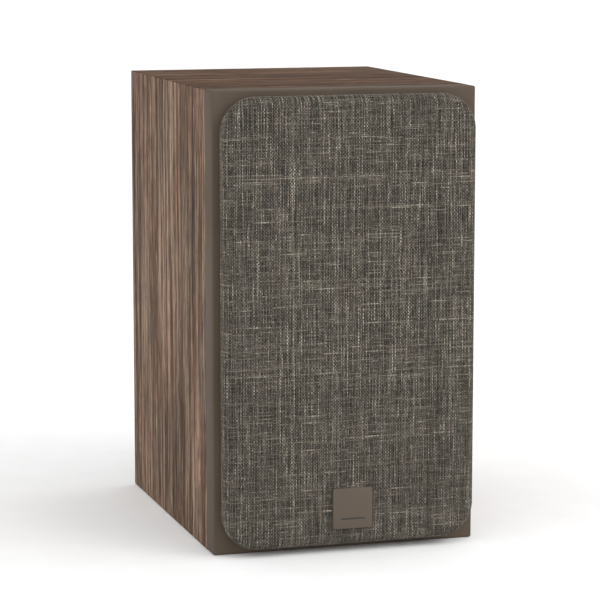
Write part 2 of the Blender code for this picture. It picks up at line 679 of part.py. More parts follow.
def make_post(name, axis, plastic):
    stem_profile = [
        (SOCKET_BORE, 13.4 * MM), (STEM_RADIUS - 0.3 * MM, 13.4 * MM), (STEM_RADIUS, 13 * MM),
        (STEM_RADIUS, 3.3 * MM), (6.4 * MM, 3.3 * MM), (6.4 * MM, 1.3 * MM), (STEM_RADIUS, 1.3 * MM),
        (STEM_RADIUS, -2.3 * MM), (5.5 * MM, -2.3 * MM), (5.5 * MM, -5.5 * MM), (STEM_RADIUS, -5.5 * MM),
        (STEM_RADIUS, -13 * MM), (0, -13 * MM), (0, -1 * MM), (SOCKET_BORE, -1 * MM),
    ]
    stem = turned(f"post_stem_{name}", stem_profile, "gilt_brass", axis, segments=16)
    wire_hole = block(16 * MM, 2.2 * MM, 4.7 * MM, 6.9 * MM)
    cut(stem, solid(f"wire hole {name}", wire_hole, None, axis))
    bore = STEM_RADIUS + GAP
    washer = ring(bore, 6.4 * MM, 3.6 * MM, 4.5 * MM)
    turned(f"post_washer_{name}", washer, "gilt_brass", axis, segments=16)
    outline = knurled_outline(8 * MM, 0.7 * MM, 16)
    cap = prism(f"post_cap_{name}", outline, 4.8 * MM, CAP_END, plastic, axis)
    cut(cap, drill(f"cap bore {name}", bore, 0, 20 * MM, axis, (0, 0, 0), 16))
    taper = [
        (6.9 * MM, 20 * MM), (12 * MM, 20 * MM), (12 * MM, 8 * MM), (8.3 * MM, 8 * MM),
        (7.1 * MM, CAP_END - 1 * MM),
    ]
    cut(cap, turned(f"cap taper {name}", taper, None, axis, segments=16))


def make_keyhole_bracket(rear):
    outline = rounded_outline(KEYHOLE_WIDTH, KEYHOLE_TALL, 3 * MM, 3)
    place = (0, KEYHOLE_HEIGHT, 0)
    plate = prism("keyhole_bracket", outline, -KEYHOLE_SHEET, 0, "steel", rear, place)
    entry, slot = KEYHOLE_ENTRY, KEYHOLE_SLOT
    side = math.degrees(math.asin(slot / entry))
    hole = arc((0, KEYHOLE_DROP), entry, 90 + side, 450 - side, 14)
    hole += arc((0, KEYHOLE_RISE), slot, 0, 180, 6)
    cut(plate, prism("keyhole", hole, -9 * MM, 9 * MM, None, rear, place))
    for i, (x, y) in enumerate(rear_screw_places()[4:]):
        cut(plate, drill(f"bracket hole {i}", SCREW_SHANK + GAP, -9 * MM, 9 * MM, rear, (x, y, 0), 12))
        screw(f"bracket_screw_{i + 1}", 3.2 * MM, 9 * MM, "steel", rear, (x, y, GAP))


# ---------------------------------------------------------------- inside


def coil_profile(radius, height):
    """A wire coil on a bobbin with two cheeks, standing on Z = 0."""
    cheek, core = 1.5 * MM, 4 * MM
    return [
        (core, 0), (radius, 0), (radius, cheek), (radius - 2 * MM, cheek),
        (radius - 2 * MM, height - cheek), (radius, height - cheek), (radius, height), (core, height),
    ]


def make_crossover():
    base = bpy.data.objects.new("crossover_place", None)
    base.location = (0, 40 * MM, WALL + GAP)
    PARTS.objects.link(base)
    board = block(96 * MM, 70 * MM, 0, 1.6 * MM, 3 * MM, 2)
    solid("crossover_board", board, "circuit_board", base)
    stand = 1.6 * MM + GAP
    turned("woofer_inductor", coil_profile(20 * MM, 18 * MM), "copper", base, (-24 * MM, 8 * MM, stand), 24)
    turned("tweeter_inductor", coil_profile(13 * MM, 14 * MM), "copper", base, (18 * MM, 16 * MM, stand), 24)
    can = turned(
        "film_capacitor", disc(8 * MM, -15 * MM, 15 * MM), "capacitor_film", base,
        (22 * MM, -14 * MM, stand + 8 * MM), COARSE,
    )
    can.rotation_euler = (0, math.pi / 2, 0)


def make_leads():
    """Twin flex inside the cabinet, each run drawn as one round tube, held at both ends."""
    board_top = WALL + 2.2 * MM
    runs = {
        "input_lead": [(-18, 88, 84), (-18, 82, 83), (-15, 77, 74), (-8, 76, 58), (-4, 74, 40), (-2, 67, 27)],
        "woofer_lead": [
            (44, -62, 88), (48, -56, 84), (52, -40, 70), (52, -16, 50), (47, 4, 34), (41, 15, 25),
        ],
        "tweeter_lead": [
            (-38, -72, 216), (-44, -64, 213), (-62, -48, 196), (-64, -34, 160), (-64, -28, 110),
            (-62, -20, 60), (-54, 0, 36), (-44, 13, 25),
        ],
    }
    ends = {"input_lead": (-2, 65), "woofer_lead": (40, 16), "tweeter_lead": (-42, 16)}
    for name, run in runs.items():
        points = [(x * MM, y * MM, z * MM) for x, y, z in run]
        x, y = ends[name]
        points.append((x * MM, y * MM, board_top + 4 * MM))
        points.append((x * MM, y * MM, board_top))
        tube(name, points, 1.8 * MM, "cable_sheath", None)


def make_wadding():
    across = WIDTH - 2 * WALL - 2 * GAP
    shape = block(across, 98 * MM, 0, 22 * MM, 10 * MM, 3, 5 * MM, 5 * MM, 2)
    solid("damping_wadding", shape, "wadding", None, (0, 34 * MM, 131 * MM))


clear_scene()
PARTS = new_collection("bookshelf_speaker")
CUTTERS = new_collection("cutters")
make_materials()
front_frame = make_frame("front_frame", (0, -DEPTH / 2, 0))
rear_frame = make_frame("rear_frame", (0, DEPTH / 2, 0), "back")
woofer_axis = make_frame("woofer_axis", (0, -DEPTH / 2, WOOFER_HEIGHT))
tweeter_axis = make_frame("tweeter_axis", (0, -DEPTH / 2, TWEETER_HEIGHT))

make_sleeve(front_frame)
make_baffle(front_frame)
make_rear_panel(rear_frame)
make_sockets(front_frame)
make_grille(front_frame)
make_woofer(woofer_axis)
make_tweeter(tweeter_axis)
make_port(rear_frame)
make_terminals(rear_frame)
make_keyhole_bracket(rear_frame)
make_crossover()
make_leads()
make_wadding()
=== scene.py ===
"""Looks of the bookshelf speaker: wood-pattern wrap, lacquered baffle, woven linen grille,
drivers, port and terminals, on a plain white floor.

Metres, in the CAD's frame. A centre and a point of an outline are (x, z). A point of a turned
profile is (radius, height); the height stands out of the baffle's face or the rear panel's."""

import math

import bmesh
import bpy
import numpy as np
from mathutils import Matrix, Vector


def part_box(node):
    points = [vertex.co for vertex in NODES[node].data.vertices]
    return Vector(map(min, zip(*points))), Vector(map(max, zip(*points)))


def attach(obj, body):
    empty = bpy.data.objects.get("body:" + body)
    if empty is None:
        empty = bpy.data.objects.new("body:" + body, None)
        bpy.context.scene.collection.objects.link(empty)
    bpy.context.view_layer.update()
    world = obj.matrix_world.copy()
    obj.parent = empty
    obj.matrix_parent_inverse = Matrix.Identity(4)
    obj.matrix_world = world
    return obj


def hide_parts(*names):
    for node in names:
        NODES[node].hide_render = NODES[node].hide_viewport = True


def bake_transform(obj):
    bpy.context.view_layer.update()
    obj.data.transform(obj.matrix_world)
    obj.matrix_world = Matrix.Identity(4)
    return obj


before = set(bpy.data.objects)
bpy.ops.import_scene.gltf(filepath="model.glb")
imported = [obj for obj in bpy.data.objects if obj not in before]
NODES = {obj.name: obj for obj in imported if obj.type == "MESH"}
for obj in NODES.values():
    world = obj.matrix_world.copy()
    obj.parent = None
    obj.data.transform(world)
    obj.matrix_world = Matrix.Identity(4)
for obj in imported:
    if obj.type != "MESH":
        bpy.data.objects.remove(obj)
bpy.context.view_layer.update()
MM = 0.001
TINY = 1e-7  # shorter than any real length here

WIDTH, HEIGHT, DEPTH = 162 * MM, 274 * MM, 203 * MM
FRONT, BACK = -DEPTH / 2, DEPTH / 2  # the baffle's face and the rear panel's
BAFFLE, WALL, GAP = 15 * MM, 12 * MM, 0.3 * MM
BAFFLE_EDGE = 1.2 * MM
WOOFER_Z, TWEETER_Z = 88 * MM, 216.5 * MM
WOOFER_R, WOOFER_HOLE, WOOFER_SCREWS = 72.5 * MM, 61.5 * MM, 68 * MM
TWEETER_R, TWEETER_HOLE, TWEETER_SCREWS = 49 * MM, 38 * MM, 43.5 * MM
FLANGE = 4 * MM
SHANK, SCREW_HOLE = 1.7 * MM, 2 * MM
THROUGH = 9 * MM  # how far a hole's cutter runs to each side of the face
PEGS = [(x * MM, z * MM) for z in (17, 258) for x in (-62, 62)]
PEG_HOLE, PEG_DEPTH = 5 * MM, 10.5 * MM
PORT_Z, TERMINAL_Z, KEYHOLE_Z = 188 * MM, 84 * MM, 243 * MM
POSTS = {"plus": -18 * MM, "minus": 18 * MM}
POST_HOLE = 3.3 * MM
TERMINAL_SCREWS = [(x * MM, TERMINAL_Z + z * MM) for z in (-19.5, 19.5) for x in (-34.5, 34.5)]
BRACKET_SCREWS = [(x * MM, KEYHOLE_Z) for x in (-19, 19)]

CLOTH_W, CLOTH_H, CLOTH_Z = 155 * MM, 266.5 * MM, 137.5 * MM
CLOTH_CORNER, CLOTH_FRONT, CLOTH_BACK = 21 * MM, 15.3 * MM, 1.5 * MM
FRONT_ROLL, BACK_ROLL = 6 * MM, 4 * MM
BADGE, BADGE_Z = 24.5 * MM, 27 * MM
BADGE_LINE_Z = BADGE_Z - 6.2 * MM

# Base colours used more than once
BLACK_PLASTIC, BLACK_STEEL = (0.020, 0.020, 0.021), (0.06, 0.06, 0.062)
COPPER, BRIGHT_STEEL, FERRITE = (0.62, 0.27, 0.13), (0.62, 0.61, 0.58), (0.045, 0.045, 0.048)


# ---------------------------------------------------------------- mesh helpers


def mm(*pairs):
    """Pairs given in millimetres, in metres."""
    return [(a * MM, b * MM) for a, b in pairs]


def linked(name, mesh, sharp=0):
    """The mesh as an object of the scene, smooth but at edges bent by more than sharp degrees."""
    mesh.shade_smooth()
    if sharp:
        mesh.set_sharp_from_angle(angle=math.radians(sharp))
    obj = bpy.data.objects.new(name, mesh)
    bpy.context.scene.collection.objects.link(obj)
    return obj


def mesh_object(name, verts, faces):
    mesh = bpy.data.meshes.new(name)
    mesh.from_pydata([tuple(v) for v in verts], [], [tuple(f) for f in faces])
    return linked(name, mesh)


def from_bmesh(name, shape, sharp=40):
    mesh = bpy.data.meshes.new(name)
    bmesh.ops.recalc_face_normals(shape, faces=shape.faces)
    shape.to_mesh(mesh)
    shape.free()
    return linked(name, mesh, sharp)


def face_outwards(obj):
    """Turns the faces of a closed mesh outwards."""
    shape = bmesh.new()
    shape.from_mesh(obj.data)
    bmesh.ops.recalc_face_normals(shape, faces=shape.faces)
    shape.to_mesh(obj.data)
    shape.free()
    return obj


def finish_shading(obj, sharp):
    obj.data.shade_smooth()
    obj.data.set_sharp_from_angle(angle=math.radians(sharp))
    return obj


def applied(obj):
    """Bakes the object's modifiers into its mesh."""
    bpy.context.view_layer.update()
    graph = bpy.context.evaluated_depsgraph_get()
    mesh = bpy.data.meshes.new_from_object(obj.evaluated_get(graph))
    obj.modifiers.clear()
    obj.data = mesh
    return mesh


def block(size, middle=(0, 0, 0)):
    """A box, still as a bmesh."""
    shape = bmesh.new()
    bmesh.ops.create_cube(shape, size=1)
    bmesh.ops.scale(shape, vec=size, verts=shape.verts)
    bmesh.ops.translate(shape, vec=middle, verts=shape.verts)
    return shape


def eased(points, radius, pieces=4, closed=True):
    """The outline again with every corner rounded by up to radius."""
    straight = math.radians(172)
    share = 0.42  # of a side, at most, that one corner may take
    count, out = len(points), []
    for i in range(count):
        p = Vector(points[i])
        if not closed and i in (0, count - 1):
            out.append(tuple(p))
            continue
        a, b = Vector(points[i - 1]) - p, Vector(points[(i + 1) % count]) - p
        if a.length < TINY or b.length < TINY:
            continue
        angle = a.angle(b, math.pi)
        if angle > straight or (p.x < TINY and not closed):
            out.append(tuple(p))
            continue
        length = min(radius / math.tan(angle / 2), share * a.length, share * b.length)
        start, end = p + a.normalized() * length, p + b.normalized() * length
        for k in range(pieces + 1):
            t = k / pieces
            out.append(tuple(start * (1 - t) ** 2 + p * 2 * t * (1 - t) + end * t**2))
    return out


def lathe(name, profile, centre, facing=-1, segments=160, closed=True, sharp=40):
    """A turned solid about the Y axis through centre. Heights stand out of the front (facing -1)
    or the back (facing +1). An open profile starts and ends on the axis."""
    cx, cz = centre
    face = FRONT if facing < 0 else BACK
    points = profile[:1]
    for before, point in zip(profile, profile[1:]):
        if (Vector(point) - Vector(before)).length > TINY / 10:
            points.append(point)
    angles = np.linspace(0, 2 * math.pi, segments, endpoint=False)
    verts, rings = [], []
    for r, h in points:
        if r < TINY:
            rings.append([len(verts)])
            verts.append((cx, face + facing * h, cz))
            continue
        rings.append(list(range(len(verts), len(verts) + segments)))
        verts += [(cx + r * math.cos(a), face + facing * h, cz + r * math.sin(a)) for a in angles]
    faces = []
    for a, b in zip(rings, rings[1:] + (rings[:1] if closed else [])):
        if len(a) == 1 and len(b) == 1:
            continue
        for i in range(segments):
            j = (i + 1) % segments
            if len(a) == 1:
                faces.append((a[0], b[j], b[i]))
            elif len(b) == 1:
                faces.append((a[i], a[j], b[0]))
            else:
                faces.append((a[i], a[j], b[j], b[i]))
    obj = face_outwards(mesh_object(name, verts, faces))
    return finish_shading(obj, sharp) if sharp else obj


def rounded_outline(width, height, radius, pieces=8, centre=(0, 0)):
    points = []
    for corner in range(4):
        sx, sz = (1 if corner in (0, 3) else -1), (1 if corner in (0, 1) else -1)
        mx, mz = centre[0] + sx * (width / 2 - radius), centre[1] + sz * (height / 2 - radius)
        for i in range(pieces + 1):
            a = math.radians(90 * corner + 90 * i / pieces)
            points.append((mx + radius * math.cos(a), mz + radius * math.sin(a)))
    return points


def arc(centre, radius, start, end, pieces):
    """Points round a circle, from one angle to another in degrees."""
    angles = [math.radians(start + (end - start) * i / pieces) for i in range(pieces + 1)]
    return [(centre[0] + radius * math.cos(a), centre[1] + radius * math.sin(a)) for a in angles]


def slab(name, outline, y_low, y_high, edge=0.0, edge_pieces=0, edge_at=0.0):
    """An outline made thick along Y, its rim at the height edge_at rounded by edge."""
    shape = bmesh.new()
    face = shape.faces.new([shape.verts.new((x, y_low, z)) for x, z in outline])
    moved = bmesh.ops.extrude_face_region(shape, geom=[face])
    verts = [g for g in moved["geom"] if isinstance(g, bmesh.types.BMVert)]
    bmesh.ops.translate(shape, vec=(0, y_high - y_low, 0), verts=verts)
    bmesh.ops.recalc_face_normals(shape, faces=shape.faces)
    if edge:
        rims = [e for e in shape.edges if all(abs(v.co.y - edge_at) < TINY for v in e.verts)]
        bmesh.ops.bevel(
            shape, geom=rims, offset=edge, segments=edge_pieces, profile=0.5, affect="EDGES"
        )
    return from_bmesh(name, shape)


def cut(target, cutter):
    """Takes the cutter out of the target; the cutter is gone afterwards."""
    modifier = target.modifiers.new("cut", "BOOLEAN")
    modifier.operation = "DIFFERENCE"
    modifier.object = cutter
    modifier.solver = "EXACT"
    applied(target)
    bpy.data.objects.remove(cutter)


def drill(target, radius, y_low, y_high, centre, segments):
    """Cuts a round hole along Y."""
    verts = [(centre[0], y_low, centre[1])]
    for y in (y_low, y_high):
        for i in range(segments):
            a = 2 * math.pi * i / segments
            verts.append((centre[0] + radius * math.cos(a), y, centre[1] + radius * math.sin(a)))
    verts.append((centre[0], y_high, centre[1]))
    faces, tip = [], 2 * segments + 1
    for i in range(segments):
        a, b = 1 + i, 1 + (i + 1) % segments
        faces += [(0, b, a), (a, b, b + segments, a + segments), (tip, a + segments, b + segments)]
    cut(target, face_outwards(mesh_object("cutter", verts, faces)))


# ---------------------------------------------------------------- material helpers


def times(colour, factor):
    return tuple(min(1, c * factor) for c in colour)


class Graph:
    """A short way to write the nodes of a material, or of the world."""

    def __init__(self, name, blocks=bpy.data.materials):
        self.block = blocks.new(name)
        self.block.use_nodes = True
        self.tree = self.block.node_tree
        self.shader = self.tree.nodes.get("Principled BSDF") or self.tree.nodes["Background"]

    def node(self, kind, **values):
        """A new node; a value is for the input of that name, or else it is a setting."""
        made = self.tree.nodes.new(kind)
        for key, value in values.items():
            if key in made.inputs:
                self.put(made.inputs[key], value)
            else:
                setattr(made, key, value)
        return made

    def put(self, socket, value):
        if isinstance(value, bpy.types.NodeSocket):
            self.tree.links.new(value, socket)
        else:
            socket.default_value = value

    def coords(self):
        return self.node("ShaderNodeTexCoord").outputs["Object"]

    def axes(self, vector):
        return self.node("ShaderNodeSeparateXYZ", Vector=vector).outputs

    def vector(self, x, y, z):
        return self.node("ShaderNodeCombineXYZ", X=x, Y=y, Z=z).outputs[0]

    def scaled(self, vector, scale, offset=(0, 0, 0)):
        made = self.node("ShaderNodeMapping", Vector=vector, Scale=scale, Location=offset)
        return made.outputs["Vector"]

    def noise(self, vector, scale=1.0, detail=2.0, roughness=0.5, distortion=0.0):
        made = self.node(
            "ShaderNodeTexNoise", Vector=vector, Scale=scale, Detail=detail,
            Roughness=roughness, Distortion=distortion,
        )
        return made.outputs["Fac"]

    def math(self, operation, *values):
        made = self.node("ShaderNodeMath", operation=operation)
        for socket, value in zip(made.inputs, values):
            self.put(socket, value)
        return made.outputs[0]

    def swing(self, value, size):
        """A noise, which lies about 0.5, as a swing of that size about zero."""
        return self.math("MULTIPLY", self.math("SUBTRACT", value, 0.5), size)

    def radius(self, axes, centre):
        """The distance from the line along Y through centre."""
        dx = self.math("SUBTRACT", axes["X"], centre[0])
        dz = self.math("SUBTRACT", axes["Z"], centre[1])
        squares = self.math("ADD", self.math("MULTIPLY", dx, dx), self.math("MULTIPLY", dz, dz))
        return self.math("SQRT", squares)

    def ramp(self, value, stops):
        made = self.node("ShaderNodeValToRGB", Fac=value)
        ramp = made.color_ramp
        while len(ramp.elements) < len(stops):
            ramp.elements.new(0.5)
        for element, (place, colour) in zip(ramp.elements, stops):
            element.position = place
            element.color = (*colour, 1)
        return made.outputs["Color"]

    def mottled(self, value, low, high, colour, dark, light):
        """The colour, dimmed by dark where the value is under low and raised by light over high."""
        return self.ramp(value, [(low, times(colour, dark)), (high, times(colour, light))])

    def mix(self, factor, a, b, blend="MIX"):
        made = self.node("ShaderNodeMix", data_type="RGBA", blend_type=blend)
        self.put(made.inputs["Factor"], factor)
        for socket, value in zip(made.inputs[6:8], (a, b)):
            self.put(socket, (*value, 1) if isinstance(value, tuple) else value)
        return made.outputs[2]

    def bump(self, height, strength, distance):
        made = self.node("ShaderNodeBump", Height=height, Strength=strength, Distance=distance)
        return made.outputs["Normal"]

    def range(self, value, low, high, to_low, to_high, kind="LINEAR"):
        made = self.node("ShaderNodeMapRange", interpolation_type=kind, Value=value)
        for key, number in (("From Min", low), ("From Max", high), ("To Min", to_low), ("To Max", to_high)):
            made.inputs[key].default_value = number
        return made.outputs["Result"]

    def set(self, **inputs):
        names = {
            "colour": "Base Color", "roughness": "Roughness", "metallic": "Metallic", "normal": "Normal",
            "coat": "Coat Weight", "coat_roughness": "Coat Roughness", "sheen": "Sheen Weight",
            "sheen_roughness": "Sheen Roughness", "specular": "Specular IOR Level",
        }
        for key, value in inputs.items():
            self.put(self.shader.inputs[names[key]], value)
        return self.block


def walnut(name, along, across, around, tone, seed):
    """Printed walnut: soft pale bands, fine streaks that fade in and out, pinstripes, dark pores.

    The grain runs with the axis along, is spread over the axis across and, where the foil is
    folded over an edge, over around: an axis and its sign."""
    g = Graph(name)
    axes = g.axes(g.coords())
    run = axes[along]
    fold, sign = around
    side = g.math("ADD", axes[across], g.math("MULTIPLY", axes[fold], sign))
    waves = g.vector(g.math("MULTIPLY", run, 8.0), g.math("MULTIPLY", side, 16.0), seed)
    side = g.math("ADD", side, g.swing(g.noise(waves, 1.0, 1.0), 9 * MM))

    def grain(lines, dashes, detail, shift=0.0):
        """Noise of so many lines to the metre across the grain and dashes to the metre along it."""
        place = g.vector(g.math("MULTIPLY", side, lines), g.math("MULTIPLY", run, dashes), seed + shift)
        return g.noise(place, 1.0, detail)

    line, fine = grain(430, 11.0, 2, 7.7), grain(1400, 70.0, 2, 11.3)
    layers = (
        (grain(60, 3.2, 1), 0.45), (grain(170, 4.5, 2, 3.1), 0.6), (grain(290, 6.0, 2, 17.3), 0.8),
        (line, 1.15), (fine, 1.2),
    )
    value = 0.5
    for layer, weight in layers:
        value = g.math("ADD", value, g.swing(layer, weight))
    stops = (
        (0.14, (0.034, 0.020, 0.013)), (0.36, (0.070, 0.045, 0.031)), (0.50, (0.112, 0.075, 0.054)),
        (0.64, (0.170, 0.119, 0.088)), (0.86, (0.300, 0.228, 0.172)),
    )
    stops = [(place, tuple(c * k for c, k in zip(colour, tone))) for place, colour in stops]
    darkest, palest = stops[0][1], stops[-1][1]
    colour = g.ramp(value, stops)
    pinstripe = g.range(grain(210, 1.6, 0, 21.0), 0.66, 0.76, 0.0, 1.0)
    fading = g.range(grain(50, 9.0, 1, 27.0), 0.4, 0.6, 0.1, 0.75)
    colour = g.mix(g.math("MULTIPLY", pinstripe, fading), colour, palest)
    groove = g.range(grain(330, 5.0, 1, 33.0), 0.62, 0.76, 0.0, 0.4)
    colour = g.mix(groove, colour, darkest)
    pores = g.range(grain(2400, 150.0, 1, 41.0), 0.58, 0.72, 0.0, 0.5)
    colour = g.mix(pores, colour, darkest)
    warmth = g.range(grain(45, 14.0, 1, 51.0), 0.35, 0.65, 0.0, 0.6)
    colour = g.mix(warmth, colour, g.mix(1.0, colour, (1.14, 0.94, 0.86), "MULTIPLY"))
    height = g.math("SUBTRACT", g.math("MULTIPLY", fine, 0.5), pores)
    rub = g.range(line, 0.3, 0.7, 0.50, 0.64)
    return g.set(colour=colour, roughness=rub, normal=g.bump(height, 0.35, 0.06 * MM), specular=0.02)


def lacquer(name, colour, roughness, grain, strength, specular=0.5):
    """Sprayed or moulded satin surface: faint mottling, fine orange peel."""
    g = Graph(name)
    at = g.coords()
    shade = g.mottled(g.noise(at, 22.0, 3.0), 0.3, 0.7, colour, 0.93, 1.07)
    peel = g.bump(g.noise(at, grain, 2.0), strength, 0.05 * MM)
    rub = g.range(g.noise(at, 9.0, 4.0, 0.65), 0.35, 0.7, roughness * 0.9, roughness * 1.12)
    return g.set(colour=shade, roughness=rub, normal=peel, specular=specular)


def moulded(name, colour, roughness, grain=3200.0, strength=0.25):
    """Spark-eroded plastic or rubber: a fine pebble in bump and roughness."""
    g = Graph(name)
    at = g.coords()
    pebble = g.node("ShaderNodeTexVoronoi", Vector=at, Scale=grain).outputs["Distance"]
    shade = g.mottled(g.noise(at, 30.0, 3.0), 0.25, 0.75, colour, 0.85, 1.25)
    rub = g.range(pebble, 0.0, 0.8, roughness * 0.88, roughness * 1.15)
    return g.set(colour=shade, roughness=rub, normal=g.bump(pebble, strength, 0.04 * MM))


def metal(name, colour, roughness, turned_at=None, scale=1.0):
    """Plated or turned metal: fine tool marks round the axis at turned_at, else a brushed noise."""
    g = Graph(name)
    at = g.coords()
    if turned_at is None:
        marks = g.noise(g.scaled(at, (400 * scale, 4000 * scale, 4000 * scale)), 1.0, 2.0)
    else:
        axes = g.axes(at)
        outward, deep = [g.math("MULTIPLY", way, 9000.0) for way in (g.radius(axes, turned_at), axes["Y"])]
        marks = g.noise(g.vector(outward, deep, 0.0), 1.0, 1.0)
    shade = g.mottled(g.noise(at, 60.0, 3.0), 0.3, 0.7, colour, 0.9, 1.06)
    rub = g.range(marks, 0.3, 0.7, roughness * 0.8, roughness * 1.25)
    return g.set(colour=shade, metallic=1.0, roughness=rub, normal=g.bump(marks, 0.12, 0.02 * MM))


def pulp(name, colour, centre, flecked):
    """Coated paper: pressed fibres and pale flecks, with faint rings from the forming tool."""
    g = Graph(name)
    at = g.coords()
    rings = g.math("SINE", g.math("MULTIPLY", g.radius(g.axes(at), centre), 5200.0))
    fibre = g.noise(g.scaled(at, (900, 900, 900)), 1.0, 6.0, 0.75, 1.2)
    flecks = g.noise(g.scaled(at, (420, 420, 420), (3, 1, 2)), 1.0, 4.0, 0.7, 2.0)
    shade = g.ramp(fibre, [(0.3, times(colour, 0.6)), (0.55, colour), (0.75, times(colour, 1.6))])
    shade = g.mix(g.range(flecks, 0.62, 0.75, 0.0, 0.35 * flecked), shade, (0.22, 0.15, 0.10))
    height = g.math("ADD", g.math("MULTIPLY", rings, 0.12), fibre)
    rub = g.range(fibre, 0.3, 0.7, 0.62, 0.82)
    return g.set(colour=shade, roughness=rub, normal=g.bump(height, 0.5, 0.08 * MM))


def woven(name, colour, per_metre, roughness=0.85, coat=0.0, strength=0.5):
    """A fine plain-weave textile."""
    g = Graph(name)
    at = g.coords()
    axes = g.axes(at)
    warp, weft = [g.math("SINE", g.math("MULTIPLY", axes[axis], per_metre * math.pi)) for axis in "XZ"]
    check = g.math("MULTIPLY", warp, weft)
    fuzz = g.noise(at, 1800.0, 3.0, 0.7)
    shade = g.mottled(fuzz, 0.3, 0.7, colour, 0.7, 1.35)
    shade = g.mix(g.range(check, -1.0, 1.0, 0.0, 0.35), shade, times(colour, 0.45))
    normal = g.bump(g.math("ADD", check, fuzz), strength, 0.06 * MM)
    return g.set(colour=shade, roughness=roughness, normal=normal, coat=coat, coat_roughness=0.4)


def winding(name, colour, per_metre=1600.0, axis="Y"):
    """Enamelled wire wound in layers, with painted shade in the grooves between the turns."""
    g = Graph(name)
    at = g.coords()
    turns = g.math("SINE", g.math("MULTIPLY", g.axes(at)[axis], per_metre * 2 * math.pi))
    shade = g.mottled(g.noise(at, 300.0, 3.0), 0.3, 0.7, colour, 0.75, 1.15)
    # Darkens the grooves between the turns: painted shade.
    shade = g.mix(g.range(turns, -1.0, -0.3, 0.7, 0.0), shade, times(colour, 0.2))
    return g.set(colour=shade, metallic=0.85, roughness=0.32, normal=g.bump(turns, 0.8, 0.15 * MM))


def paint(piece, material, body, node=None):
    """Gives a piece its material and says which body and CAD node it stands for."""
    piece.data.materials.clear()
    piece.data.materials.append(material)
    if body:
        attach(piece, body)
    if node:
        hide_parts(node)
    return piece


def keep(nodes, material):
    """CAD nodes that stay, with a better material."""
    for name in nodes:
        NODES[name].data.materials.clear()
        NODES[name].data.materials.append(material)


# ---------------------------------------------------------------- grille cloth

WARP_PITCH, WEFT_PITCH = 0.953 * MM, 1.004 * MM
THREAD_HALF = 0.28  # half a thread's width, as a share of the pitch
THREAD_THICK, WAVE = 0.14 * MM, 0.16 * MM  # half a thread's thickness, and its swing over and under
THREAD_SIDES, THREAD_PIECES = 4, 3  # corners round a thread, and pieces that each set comes as
SKIN = WAVE + THREAD_THICK  # depth of the cloth's middle under its outermost points
SIDE, HEM = 3.8 * MM, 3.2 * MM  # the straight part of the side, and what is turned under
REACH = (FRONT_ROLL - SKIN + BACK_ROLL - SKIN) * math.pi / 2 + SIDE + HEM  # past the flat front
SAG, OPENING_HALF_W = 0.35 * MM, 62 * MM  # the cloth sinks a little over the frame's openings
OPENINGS = ((-52 * MM, 66 * MM), (71 * MM, 42 * MM))  # middle and half height, from the grille's centre
SCRIM_DEPTHS = (0.06 * MM, 0.16 * MM)  # its two faces, under the threads
SCRIM_POINTS = 256  # round each loop
SCRIM_EDGE, SCRIM_CORNER, SCRIM_FLAT = 26, 4, 22  # loops over the edge, in the corners, across the front


def drape(u, v, depth):
    """Where a point of the flat cloth lies when it is stretched over the frame, and the outward
    normal there. u, v are measured on the flat cloth from the grille's centre, depth from the
    cloth's outermost surface. The last value is how far past the flat front the point has gone."""
    core_x, core_z = CLOTH_W / 2 - CLOTH_CORNER, CLOTH_H / 2 - CLOTH_CORNER
    flat_r = CLOTH_CORNER - FRONT_ROLL
    qx, qz = np.maximum(np.abs(u) - core_x, 0), np.maximum(np.abs(v) - core_z, 0)
    q = np.hypot(qx, qz)
    s = np.maximum(q - flat_r, 0)
    safe = np.maximum(q, 1e-9)
    nx, nz = np.sign(u) * qx / safe, np.sign(v) * qz / safe
    front, back = FRONT_ROLL - depth, BACK_ROLL - depth
    straight = CLOTH_FRONT - CLOTH_BACK - FRONT_ROLL - BACK_ROLL
    first, last = (FRONT_ROLL - SKIN) * math.pi / 2, (BACK_ROLL - SKIN) * math.pi / 2
    a = np.clip(s / first, 0, 1) * math.pi / 2
    b = np.clip(s - first, 0, straight)
    c = np.clip((s - first - straight) / last, 0, 1) * math.pi / 2
    hem = np.maximum(s - first - straight - last, 0)
    out = front * np.sin(a) - back * (1 - np.cos(c)) - hem
    drop = front * (1 - np.cos(a)) + b + back * np.sin(c)
    turn = a + c
    x = np.where(s > 0, np.sign(u) * np.minimum(np.abs(u), core_x) + nx * (flat_r + out), u)
    z = np.where(s > 0, np.sign(v) * np.minimum(np.abs(v), core_z) + nz * (flat_r + out), v)
    sag = SAG * np.clip(1 - (u / OPENING_HALF_W) ** 2, 0, 1)
    sag = sag * np.maximum(*[np.clip(1 - ((v - middle) / half) ** 2, 0, 1) for middle, half in OPENINGS])
    y = FRONT - CLOTH_FRONT + depth + drop + sag
    normal = np.stack([nx * np.sin(turn), -np.cos(turn), nz * np.sin(turn)], -1)
    return np.stack([x, y, z + CLOTH_Z], -1), normal, s


def wandering(rng, count, steps, size):
    """Smooth random numbers along each of count threads, about -1 to 1; size is steps a wave."""
    knots = rng.standard_normal((count, int(steps / size) + 3))
    at = np.arange(steps) / size
    low = at.astype(int)
    t = at - low
    t = t * t * (3 - 2 * t)
    return knots[:, low] * (1 - t) + knots[:, low + 1] * t


def unit(vectors):
    return vectors / np.maximum(np.linalg.norm(vectors, axis=2, keepdims=True), 1e-12)


